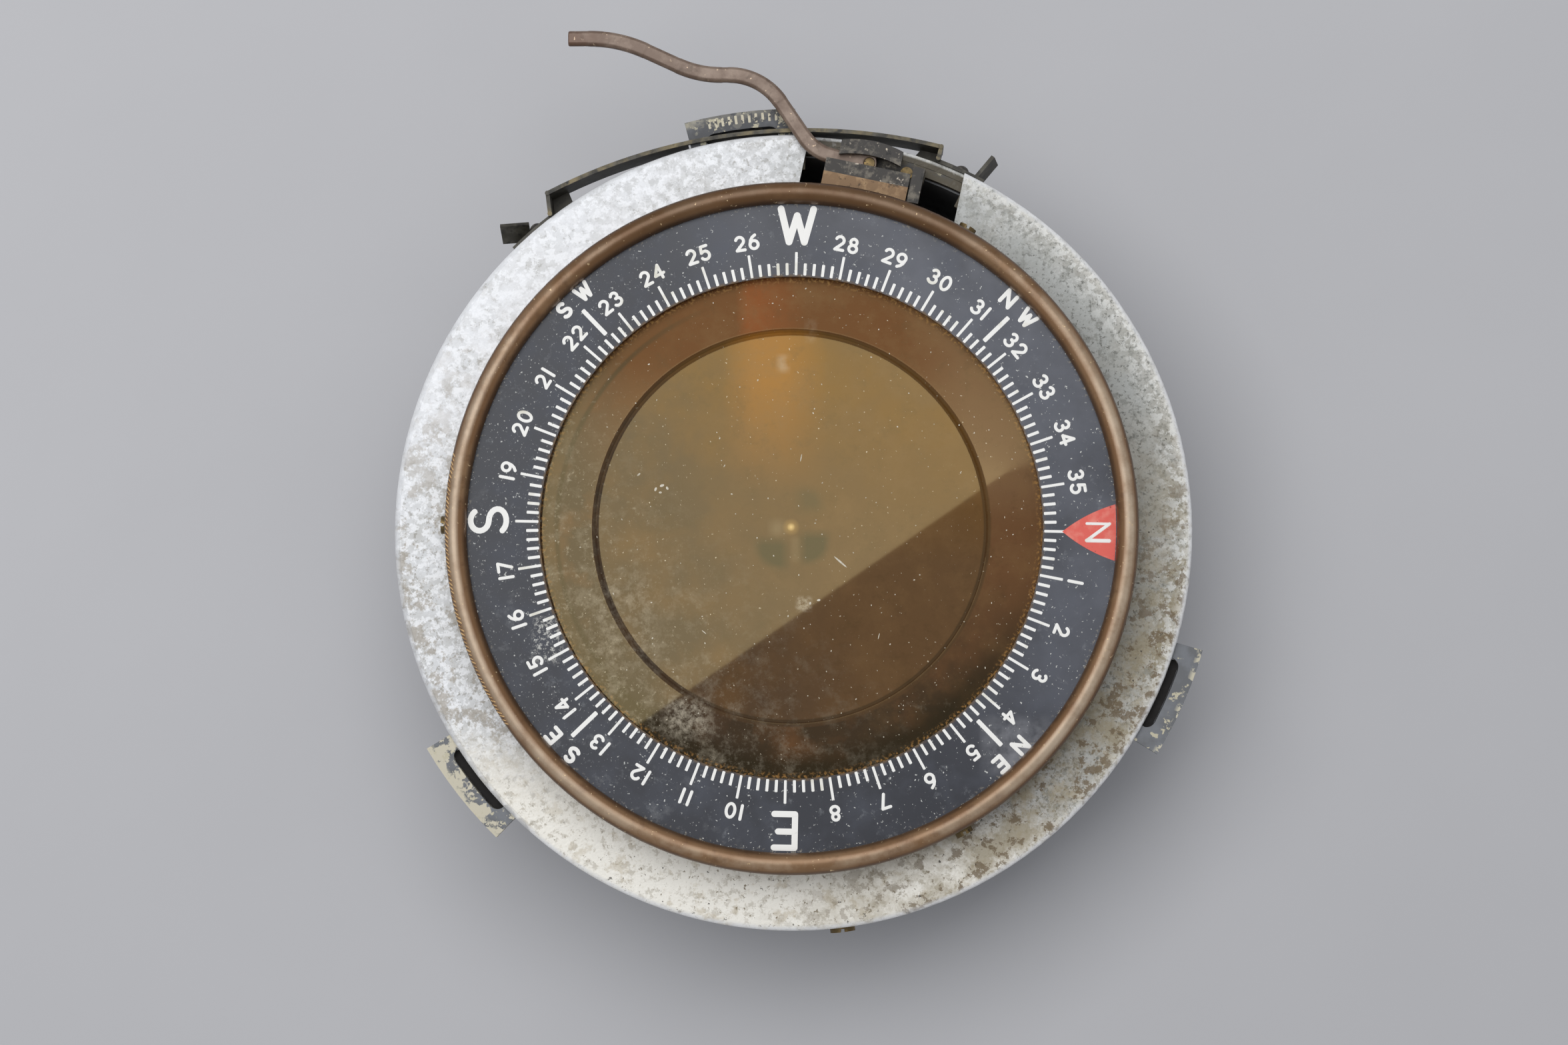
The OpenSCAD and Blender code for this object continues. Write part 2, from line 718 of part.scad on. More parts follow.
module damping_wires() {
    color("#9a8350")
    difference() {
        union() {
            ring(hub_boss_r, hub_boss_r + 1.6, hub_disc_z + hub_disc_t, hub_disc_z + hub_disc_t + 0.8);
            for (i = [0:wire_n - 1])
                radial(360 * (i + 0.5) / wire_n, hub_disc_z + hub_disc_t + 0.4, hub_boss_r + 0.4, wire_reach, 0.2);
        }
        translate([0, 0, hub_disc_z]) cylinder(r = hub_boss_r + fit, h = 5);
    }
}

// Section of the lever bar, with its edges taken off
module bar_section(inset = 0) {
    c = 0.5;
    w = bar_w / 2 - inset;
    h = bar_h - inset;
    polygon([[c - w, inset], [w - c, inset], [w, c + inset], [w, h - c], [w - c, h], [c - w, h], [-w, h - c],
        [-w, c + inset]]);
}

// A straight run of the bar, a hair slimmer than the bends it runs into; what follows starts at its end
module bar_run(l) {
    translate([-bar_lap, 0, 0]) rotate([90, 0, 90]) linear_extrude(l + 2 * bar_lap) bar_section(0.05);
    translate([l, 0, 0]) children();
}

// A bend of the bar, to the left for a positive angle
module bar_bend(r, a) {
    mirror([0, a < 0 ? 1 : 0, 0]) translate([0, r, 0]) rotate([0, 0, -90])
        rotate_extrude(angle = abs(a)) translate([r, 0]) bar_section();
    translate([r * sin(abs(a)), sign(a) * r * (1 - cos(a)), 0]) rotate([0, 0, a]) children();
}

module clamp_lever() {
    color("#84715f")
    on_clamp() translate([0, pin_v, 0]) difference() {
        union() {
            translate([-cam_offset, 0, cam_low]) cylinder(r = cam_r, h = bar_top - cam_low);
            translate([0, 0, bar_low]) rotate([0, 0, 180])
                bar_run(7) bar_bend(9, -44) bar_run(8.3) bar_bend(12, 56) bar_run(1.3)
                bar_bend(20, -25) bar_run(6.9) bar_bend(26, 25) bar_run(3.4);
        }
        translate([0, 0, cam_low - 1]) cylinder(r = pin_r + 0.06, h = 9);
    }
}

module shoe_holder() {
    color("#3c3a38")
    on_clamp() difference() {
        union() {
            translate([-5, holder_v, shoe_low])
                cube([shoe_half + 5, holder_back - holder_v, lip_low - shoe_low]);
            translate([-shoe_half, holder_v, shoe_low]) cube([2 * shoe_half, 0.6, lip_low - shoe_low]);
            translate([-shoe_half, lip_v, lip_low - 0.1])
                cube([2 * shoe_half, lip_back - lip_v, shoe_top - lip_low + 0.1]);
        }
        for (s = [-1, 1]) translate([s * shoe_pin_u, holder_v - 1, shoe_low + 1.1])
            rotate([-90, 0, 0]) cylinder(r = 0.7 + fit, h = 2.2);
    }
}

module shoe_pad() {
    color("#8d7350")
    on_clamp() difference() {
        union() {
            translate([-shoe_half, pad_v, shoe_low]) cube([2 * shoe_half, holder_v - pad_v, shoe_top - shoe_low]);
            translate([-shoe_half, pad_v, lip_low]) cube([2 * shoe_half, lip_v - pad_v, shoe_top - lip_low]);
        }
        for (s = [-1, 1]) translate([s * shoe_pin_u, pad_v - 1, shoe_low + 1.1])
            rotate([-90, 0, 0]) cylinder(r = 0.7 + fit, h = 6);
    }
}

module shoe_pins() {
    color("#a58f5c")
    on_clamp() for (s = [-1, 1]) translate([s * shoe_pin_u, pad_v + 0.3, shoe_low + 1.1])
        rotate([-90, 0, 0]) cylinder(r = 0.7, h = holder_v - pad_v + 0.8);
}

outer_case();
case_pad();
bowl_screws();
mounting_ring();
cover_flange();
cover_screws();
spring_strip();
strip_rivets();
bowl();
glass_seal();
bowl_glass();
glass_retainer();
filler_plug();
filler_washer();
expansion_diaphragm();
diaphragm_clamp();
diaphragm_screws();
pivot_bridge();
bridge_screws();
pivot_post();
pivot_needle();
clamp_bracket();
bracket_rivets();
lever_pin();
ring_skirt();
dial_plate();
bezel();
guide_screws();
magnet_hub();
pivot_jewel();
bar_magnets();
damping_wires();
clamp_lever();
shoe_holder();
shoe_pad();
shoe_pins();
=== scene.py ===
import math
import random

import bpy
from mathutils import Matrix, Vector


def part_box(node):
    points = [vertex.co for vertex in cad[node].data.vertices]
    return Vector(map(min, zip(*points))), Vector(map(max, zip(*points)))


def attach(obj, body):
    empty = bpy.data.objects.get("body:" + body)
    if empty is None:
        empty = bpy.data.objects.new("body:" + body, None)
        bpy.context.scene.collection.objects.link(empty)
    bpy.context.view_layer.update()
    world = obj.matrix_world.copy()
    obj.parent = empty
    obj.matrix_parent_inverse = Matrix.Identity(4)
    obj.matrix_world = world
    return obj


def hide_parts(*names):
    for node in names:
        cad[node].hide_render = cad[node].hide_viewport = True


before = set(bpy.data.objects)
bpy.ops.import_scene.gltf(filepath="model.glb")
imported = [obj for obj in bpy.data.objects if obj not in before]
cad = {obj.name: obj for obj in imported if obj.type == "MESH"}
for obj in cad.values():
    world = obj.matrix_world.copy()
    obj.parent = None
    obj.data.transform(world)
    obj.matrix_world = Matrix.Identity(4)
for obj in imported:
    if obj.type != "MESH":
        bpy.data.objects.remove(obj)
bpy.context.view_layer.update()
mm = 0.001
bpy.context.scene.view_settings.view_transform = "Standard"
print("frame loaded,", len(cad), "pieces")


def hexColour(text):  # sRGB hex to linear
    parts = [int(text[i:i + 2], 16) / 255 for i in (1, 3, 5)]
    return tuple(v / 12.92 if v <= 0.04045 else ((v + 0.055) / 1.055) ** 2.4 for v in parts) + (1.0,)


def put(tree, kind, links=None, **settings):  # one node with its settings, values and links
    node = tree.nodes.new(kind)
    for key, value in settings.items():
        setattr(node, key, value)
    for key, value in (links or {}).items():
        if isinstance(value, bpy.types.NodeSocket):
            tree.links.new(value, node.inputs[key])
        else:
            node.inputs[key].default_value = value
    return node


# shift: metres from the noise of one layer to the next, so that no two coincide
# detail, rugged and amount hold where a layer gives none of its own
noiseSettings = {"shift": (0.137, 0.071, 0.05), "detail": 4.0, "rugged": 0.55, "amount": 1.0, "grainDetail": 3.0}


def makeFinish(name, base, metallic=0.0, roughness=0.5, layers=(), grain=(), sockets=None):
    # each layer lays a tone over those before it, masked by noise of a size in mm and by place ("where", "radius")
    material = bpy.data.materials.new(name)
    material.use_nodes = True
    tree = material.node_tree
    shader = tree.nodes["Principled BSDF"]
    place = put(tree, "ShaderNodeTexCoord").outputs["Object"]
    colour = hexColour(base)
    rough = roughness
    metal = metallic
    for number, layer in enumerate(layers):
        given = {**noiseSettings, **layer}
        across, up, deep = given["shift"]
        spot = put(tree, "ShaderNodeMapping", {"Vector": place, "Location": (across * number, up * number, deep)})
        noise = put(tree, "ShaderNodeTexNoise", {"Vector": spot.outputs[0], "Scale": 1 / (given["size"] * mm),
                                                 "Detail": given["detail"], "Roughness": given["rugged"]})
        mask = put(tree, "ShaderNodeMapRange", {"Value": noise.outputs[0], "From Min": given["low"],
                                                "From Max": given["high"], "To Max": given["amount"]}).outputs[0]
        ramps = []
        for *axis, start, end in layer.get("where", ()):  # (x, y, z, from mm, to mm): fades in along a direction
            along = put(tree, "ShaderNodeVectorMath", {0: place, 1: axis}, operation="DOT_PRODUCT")
            ramps.append((along, start, end))
        for start, end in layer.get("radius", ()):  # (from mm, to mm): fades in along the radius
            flat = put(tree, "ShaderNodeVectorMath", {0: place, 1: (1, 1, 0)}, operation="MULTIPLY")
            reach = put(tree, "ShaderNodeVectorMath", {0: flat.outputs[0]}, operation="LENGTH")
            ramps.append((reach, start, end))
        for measure, start, end in ramps:
            fade = put(tree, "ShaderNodeMapRange", {"Value": measure.outputs["Value"], "From Min": start * mm,
                                                    "From Max": end * mm})
            mask = put(tree, "ShaderNodeMath", {0: mask, 1: fade.outputs[0]}, operation="MULTIPLY").outputs[0]
        colour = put(tree, "ShaderNodeMix", {0: mask, 6: colour, 7: hexColour(layer["tone"])},
                     data_type="RGBA").outputs[2]
        if "rough" in layer:
            rough = put(tree, "ShaderNodeMix", {0: mask, 2: rough, 3: layer["rough"]}).outputs[0]
        if "metal" in layer:
            metal = put(tree, "ShaderNodeMix", {0: mask, 2: metal, 3: layer["metal"]}).outputs[0]
    normal = None
    for size, strength, depth in grain:  # bump: grain size in mm, strength, depth in mm
        noise = put(tree, "ShaderNodeTexNoise", {"Vector": place, "Scale": 1 / (size * mm),
                                                 "Detail": noiseSettings["grainDetail"]})
        bump = put(tree, "ShaderNodeBump", {"Height": noise.outputs[0], "Strength": strength, "Distance": depth * mm})
        if normal is not None:
            tree.links.new(normal, bump.inputs["Normal"])
        normal = bump.outputs[0]
    for key, value in (("Base Color", colour), ("Roughness", rough), ("Metallic", metal), ("Normal", normal)):
        if isinstance(value, bpy.types.NodeSocket):
            tree.links.new(value, shader.inputs[key])
        elif value is not None:
            shader.inputs[key].default_value = value
    for key, value in (sockets or {}).items():
        shader.inputs[key].default_value = value
    return material


def patch(left, right, low, high, soft):  # a soft-edged field in mm for a layer's "where"
    return [(1, 0, 0, left - soft, left), (-1, 0, 0, -right - soft, -right),
            (0, 1, 0, low - soft, low), (0, -1, 0, -high - soft, -high)]


def dress(material, *names):
    for name in names:
        cad[name].data.materials.clear()
        cad[name].data.materials.append(material)


def clearSelection():
    if bpy.context.object and bpy.context.object.mode != "OBJECT":
        bpy.ops.object.mode_set(mode="OBJECT")
    bpy.ops.object.select_all(action="DESELECT")


def takeUp(piece, name, material, body):
    piece.name = name
    piece.data.name = name
    piece.data.materials.clear()
    piece.data.materials.append(material)
    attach(piece, body)


def copyPiece(source):  # a copy with a mesh of its own
    piece = source.copy()
    piece.data = source.data.copy()
    bpy.context.scene.collection.objects.link(piece)
    return piece


def joinUp(parts, fromCurves=False):
    clearSelection()
    for part in parts:
        part.select_set(True)
    bpy.context.view_layer.objects.active = parts[0]
    if fromCurves:
        bpy.ops.object.convert(target="MESH")
    bpy.ops.object.join()
    return bpy.context.object


always = {"size": 40, "low": 0.0, "high": 0.02}  # a layer without gaps

# Corroded aluminium under thin pale paint: frosty bloom to the left with a painted highlight at the upper left,
# greyer to the right partly as painted shade, brown dirt to the right, worn bright along the rim, cream low down
# where painted light lifts the shade of the bezel, grimy down the skirt and olive-brown on the floor of the notch,
# partly painted shade
lowerSide = (-0.15, -1, 0, 46, 60)
coverPaint = makeFinish(
    "corrodedPaintAndPaintedLight", "#d9dbdd", metallic=0.08, roughness=0.48,
    layers=[
        # greyer towards the right, partly its own grey and partly painted shade on the side away from the light;
        # mottled all over
        {"tone": "#a4a39b", "size": 26, "low": 0.1, "high": 0.45, "amount": 0.95, "where": [(1, 0.25, 0, 14, 52)]},
        {"tone": "#bab9b4", "size": 9, "low": 0.45, "high": 0.62, "detail": 6, "amount": 0.6},
        {"tone": "#9a978f", "size": 1.1, "low": 0.56, "high": 0.6, "detail": 5, "rugged": 0.65, "amount": 0.7},
        # frosty on the left, brownish low down there
        {"tone": "#f6f8fb", "size": 1.8, "low": 0.49, "high": 0.53, "detail": 7, "rugged": 0.72, "amount": 0.72,
         "rough": 0.4, "where": [(-1, 0.25, 0, -45, 15)]},
        {"tone": "#a29a8d", "size": 3.4, "low": 0.51, "high": 0.57, "detail": 8, "rugged": 0.76, "amount": 0.75,
         "where": [(-1, -0.35, 0, 30, 62)]},
        # painted highlight: whiter at the upper left, where the light is mirrored
        {"tone": "#f3f5f9", "size": 6, "low": 0.3, "high": 0.55, "detail": 5, "amount": 0.7,
         "where": [(-0.72, 0.69, 0, 52, 66)]},
        {"tone": "#c0c1c1", "size": 2.2, "low": 0.5, "high": 0.56, "detail": 7, "rugged": 0.72, "amount": 0.6,
         "where": [(0, 1, 0, 56, 66)]},
        # dull at the upper right, dark mottles on the right half
        {"tone": "#a7aaa8", "size": 9, "low": 0.2, "high": 0.5, "detail": 6, "amount": 0.75,
         "where": [(0.62, 0.78, 0, 50, 60)], "radius": [(73.5, 70)]},
        {"tone": "#84857f", "size": 2.4, "low": 0.53, "high": 0.58, "detail": 7, "rugged": 0.72, "amount": 0.75,
         "where": [(1, -0.1, 0, 5, 50)]},
        {"tone": "#666761", "size": 0.9, "low": 0.56, "high": 0.6, "detail": 5, "rugged": 0.65, "amount": 0.8,
         "where": [(1, -0.1, 0, 5, 50)]},
        # cream bloom along the lower side, its near-white flecks partly painted light against the shade of the bezel;
        # browner to the right
        {**always, "tone": "#d2ccbe", "amount": 0.85, "where": [lowerSide]},
        {"tone": "#f6f3ea", "size": 1.6, "low": 0.42, "high": 0.47, "detail": 7, "rugged": 0.72, "amount": 0.9,
         "where": [lowerSide]},
        {"tone": "#bdb096", "size": 5.0, "low": 0.54, "high": 0.6, "detail": 8, "rugged": 0.7, "amount": 0.5,
         "where": [(0.3, -1, 0, 0, 58)]},
        {"tone": "#948769", "size": 7, "low": 0.38, "high": 0.56, "detail": 9, "rugged": 0.74, "amount": 0.75,
         "where": [(0.8, -0.6, 0, 38, 66)]},
        # rubbed bright towards the rim
        {"tone": "#e2e3e0", "size": 2.0, "low": 0.51, "high": 0.54, "detail": 7, "rugged": 0.72, "amount": 0.8,
         "where": [(0.9, 0.3, 0, 40, 60)], "radius": [(69.5, 75)]},
        {"tone": "#e9e7e0", "size": 0.9, "low": 0.44, "high": 0.5, "detail": 5, "rugged": 0.65, "amount": 0.6,
         "where": [(1, 0, 0, -10, 45)], "radius": [(73.6, 75.4)]},
        # brown and black dirt
        {"tone": "#6f5d42", "size": 2.6, "low": 0.54, "high": 0.57, "detail": 7, "rugged": 0.7, "amount": 0.8,
         "where": [(0.78, -0.63, 0, 40, 66)], "rough": 0.75, "metal": 0.0},
        {"tone": "#7a6c52", "size": 1.5, "low": 0.61, "high": 0.63, "detail": 6, "rugged": 0.7, "amount": 0.85,
         "where": [(0.3, -1, 0, 20, 60)], "rough": 0.75, "metal": 0.0},
        {"tone": "#453f37", "size": 1.1, "low": 0.66, "high": 0.68, "detail": 5, "rugged": 0.65, "amount": 0.9,
         "where": [(0.85, -0.5, 0, -60, 20)], "rough": 0.8, "metal": 0.0},
        # bare edge of the rim
        {"tone": "#f4f5f7", "size": 2.2, "low": 0.25, "high": 0.5, "amount": 0.75, "where": [(0, 0, 1, 37.4, 38.8)],
         "radius": [(75.1, 75.8)], "rough": 0.36},
        # grime down the skirt
        {"tone": "#a19c8f", "size": 3.2, "low": 0.5, "high": 0.58, "detail": 8, "rugged": 0.74, "amount": 0.7,
         "where": [(0, 0, -1, -38, -31)], "rough": 0.65},
        {"tone": "#77705f", "size": 2.0, "low": 0.35, "high": 0.6, "detail": 6, "rugged": 0.7, "amount": 0.75,
         "where": [(0, 0, -1, -30.2, -28.2)], "rough": 0.7},
        # floor of the notch: olive-brown, partly its own colour and partly painted shade in the recess
        {"tone": "#4b4331", "size": 2.5, "low": 0.1, "high": 0.4,
         "where": [(0.208, 0.978, 0, 70, 71), (0, 0, -1, -38.3, -38.2)], "radius": [(75.9, 75.5)]},
    ],
    grain=[(1.6, 0.35, 0.14), (0.5, 0.6, 0.1)])

# Grey paint on the pan, dull and dusty
casePaint = makeFinish(
    "greyCasePaint", "#7c7f83", roughness=0.55,
    layers=[
        {"tone": "#8d9094", "size": 14, "low": 0.4, "high": 0.7, "detail": 6, "rugged": 0.65},
        {"tone": "#62646a", "size": 5, "low": 0.58, "high": 0.74, "detail": 7, "rugged": 0.72, "amount": 0.6},
        {"tone": "#b9b6a8", "size": 1.4, "low": 0.67, "high": 0.69, "detail": 5, "rugged": 0.65, "rough": 0.4},
        {"tone": "#9c968a", "size": 3, "low": 0.5, "high": 0.7, "detail": 7, "rugged": 0.72, "amount": 0.6,
         "where": [(0, 0, -1, -14, 0)], "rough": 0.75},
    ],
    grain=[(1.2, 0.18, 0.06)])

# Blue-grey paint on the lugs, flaked to cream metal along the edges and nearly bare on the lower left one
lugPaint = makeFinish(
    "chippedLugPaint", "#66686b", roughness=0.55,
    layers=[
        {"tone": "#74777c", "size": 4, "low": 0.45, "high": 0.65, "detail": 4},
        {"tone": "#c6c0aa", "size": 2.4, "low": 0.44, "high": 0.47, "detail": 6, "rugged": 0.65,
         "where": [(-1, 0, 0, -70, -50)], "radius": [(79.8, 81.0)], "rough": 0.42},
        {"tone": "#c6c0aa", "size": 2.4, "low": 0.52, "high": 0.55, "detail": 6, "rugged": 0.65,
         "radius": [(80.2, 81.0)], "rough": 0.42},
        {"tone": "#c9c2ad", "size": 3.0, "low": 0.47, "high": 0.495, "detail": 6, "rugged": 0.65,
         "where": [(-0.75, -0.66, 0, 60, 64)], "rough": 0.42},
        {"tone": "#c2bba2", "size": 2.2, "low": 0.61, "high": 0.63, "detail": 5, "rough": 0.45},
        {"tone": "#3f4044", "size": 6, "low": 0.2, "high": 0.45, "amount": 0.85, "where": [(0, 1, 0, 60, 66)]},
        {"tone": "#b7b097", "size": 2.6, "low": 0.56, "high": 0.58, "detail": 6, "rugged": 0.65,
         "where": [(0, 1, 0, 60, 66)], "rough": 0.45},
        # olive-brown on the ring's top in the notch, partly its own colour and partly painted shade in the recess
        {"tone": "#4b4331", "size": 2.5, "low": 0.25, "high": 0.5, "where": [(0.208, 0.978, 0, 62, 64)],
         "radius": [(75.6, 75.0)]},
    ],
    grain=[(0.8, 0.2, 0.06)])

# Brown patina on brass, satin and darker towards the top, with a painted highlight along the crest of the bead,
# brighter at the right and left, and painted shade on both flanks
highlightCrown = [(62.3, 63.1), (64.7, 63.9)]  # where the painted highlight runs along the bead
bezelPatinaAndHighlight = makeFinish(
    "patinaAndPaintedHighlightBezel", "#7b5a3b", metallic=0.3, roughness=0.36,
    layers=[
        {"tone": "#8f7152", "size": 15, "low": 0.45, "high": 0.7, "detail": 5},
        {"tone": "#62442b", "size": 4, "low": 0.52, "high": 0.68, "detail": 7, "rugged": 0.7, "amount": 0.7},
        # painted highlight along the crest, brighter still at the right and left
        {"tone": "#b39d84", "size": 7, "low": 0.38, "high": 0.6, "detail": 6, "rugged": 0.65, "amount": 0.6,
         "radius": highlightCrown},
        {"tone": "#543716", "size": 20, "low": 0.2, "high": 0.5, "amount": 0.75, "where": [(0, 1, 0, 40, 58)]},
        {"tone": "#d2c1ab", "size": 8, "low": 0.25, "high": 0.55, "detail": 6, "rugged": 0.65, "amount": 0.55,
         "where": [(1, -0.2, 0, 36, 58)], "radius": highlightCrown},
        {"tone": "#c3b29d", "size": 8, "low": 0.25, "high": 0.55, "detail": 6, "rugged": 0.65, "amount": 0.5,
         "where": [(-1, -0.2, 0, 36, 58)], "radius": highlightCrown},
        # painted shade along the outer and inner edges of the bead
        {"tone": "#4a3626", "size": 3, "low": 0.2, "high": 0.45, "amount": 0.7, "radius": [(64.5, 65.0)]},
        {"tone": "#4a3626", "size": 3, "low": 0.2, "high": 0.45, "amount": 0.6, "radius": [(61.9, 61.4)]},
        {"tone": "#d0b58c", "size": 0.8, "low": 0.67, "high": 0.73, "detail": 4, "rough": 0.35},
    ],
    grain=[(1.5, 0.1, 0.05), (0.35, 0.12, 0.02)])

# Bright spots on the nicked edge of the bezel
nickBrass = makeFinish(
    "rubbedBrassNicks", "#dcb680", metallic=0.3, roughness=0.35,
    layers=[{"tone": "#a07a50", "size": 1.2, "low": 0.5, "high": 0.62}])

# Turned brass under the bezel, dark and dull
ringBrass = makeFinish(
    "dullRingBrass", "#6a5334", metallic=0.5, roughness=0.5,
    layers=[{"tone": "#8a7046", "size": 6, "low": 0.5, "high": 0.7},
            {"tone": "#3f3526", "size": 2, "low": 0.58, "high": 0.68}],
    grain=[(1.0, 0.15, 0.05)])

# Screw brass gone olive brown
screwBrass = makeFinish(
    "tarnishedScrewBrass", "#6b5a3a", metallic=0.6, roughness=0.45,
    layers=[{"tone": "#91794c", "size": 1.2, "low": 0.5, "high": 0.66},
            {"tone": "#3a3224", "size": 0.7, "low": 0.6, "high": 0.68}],
    grain=[(0.5, 0.2, 0.04)])

# Blue-black baked enamel of the dial, hazed in clouds, with dust and crumbs along the bezel and a painted reflection
# near it at the lower right
dialEnamel = makeFinish(
    "blackDialEnamel", "#22252f", roughness=0.4,
    layers=[
        {"tone": "#3b3f4a", "size": 9, "low": 0.45, "high": 0.72, "detail": 5, "rough": 0.5},
        {"tone": "#60636d", "size": 16, "low": 0.2, "high": 0.6, "detail": 5, "amount": 0.75,
         "where": [(1, 0.6, 0, 0, 55)]},
        {"tone": "#7d8085", "size": 3.2, "low": 0.6, "high": 0.78, "detail": 6, "rugged": 0.72, "amount": 0.8,
         "rough": 0.7},
        {"tone": "#8a8c8e", "size": 4.5, "low": 0.56, "high": 0.74, "detail": 6, "rugged": 0.7, "amount": 0.7,
         "where": [(-0.8, -0.6, 0, 35, 60)], "rough": 0.75},
        {"tone": "#c9cac6", "size": 0.55, "low": 0.69, "high": 0.72, "detail": 2, "rough": 0.8},
        {"tone": "#aeb0b0", "size": 0.4, "low": 0.67, "high": 0.71, "detail": 3, "amount": 0.7,
         "where": [(-1, 0, 0, 15, 50)], "rough": 0.8},
        {"tone": "#cfcec8", "size": 0.6, "low": 0.52, "high": 0.58, "detail": 6, "rugged": 0.7, "amount": 0.75,
         "where": patch(-47.5, -44, -24.5, -18, 1.5), "rough": 0.8},
        # painted reflection: a soft grey haze near the bezel at the lower right
        {"tone": "#a9aab0", "size": 5, "low": 0.3, "high": 0.6, "detail": 5, "amount": 0.5,
         "where": patch(38, 46, -44, -38, 3), "rough": 0.6},
        {"tone": "#a8a193", "size": 0.7, "low": 0.58, "high": 0.64, "detail": 3, "radius": [(60.2, 61.4)],
         "rough": 0.85},
        {"tone": "#6d5433", "size": 1.2, "low": 0.35, "high": 0.6, "radius": [(47.9, 47.3)], "rough": 0.6},
    ],
    grain=[(0.4, 0.1, 0.02)])

# White engraving paint, slightly yellowed
markPaint = makeFinish(
    "whiteMarkPaint", "#f6f5f1", roughness=0.6,
    layers=[{"tone": "#d9d5c4", "size": 6, "low": 0.58, "high": 0.74},
            {"tone": "#8d8a80", "size": 0.6, "low": 0.71, "high": 0.75}])

# Cream scale paint on the top lug, half flaked away
scalePaint = makeFinish(
    "flakedScalePaint", "#cfc7b0", roughness=0.6,
    layers=[{"tone": "#4c4c4d", "size": 1.0, "low": 0.53, "high": 0.57, "detail": 5, "rugged": 0.65}])

# Signal red of the north mark, faded to salmon
northPaint = makeFinish(
    "redNorthPaint", "#e35f52", roughness=0.5,
    layers=[{"tone": "#ee8f7f", "size": 2.5, "low": 0.5, "high": 0.7, "amount": 0.7},
            {"tone": "#9a443d", "size": 0.7, "low": 0.66, "high": 0.72}])
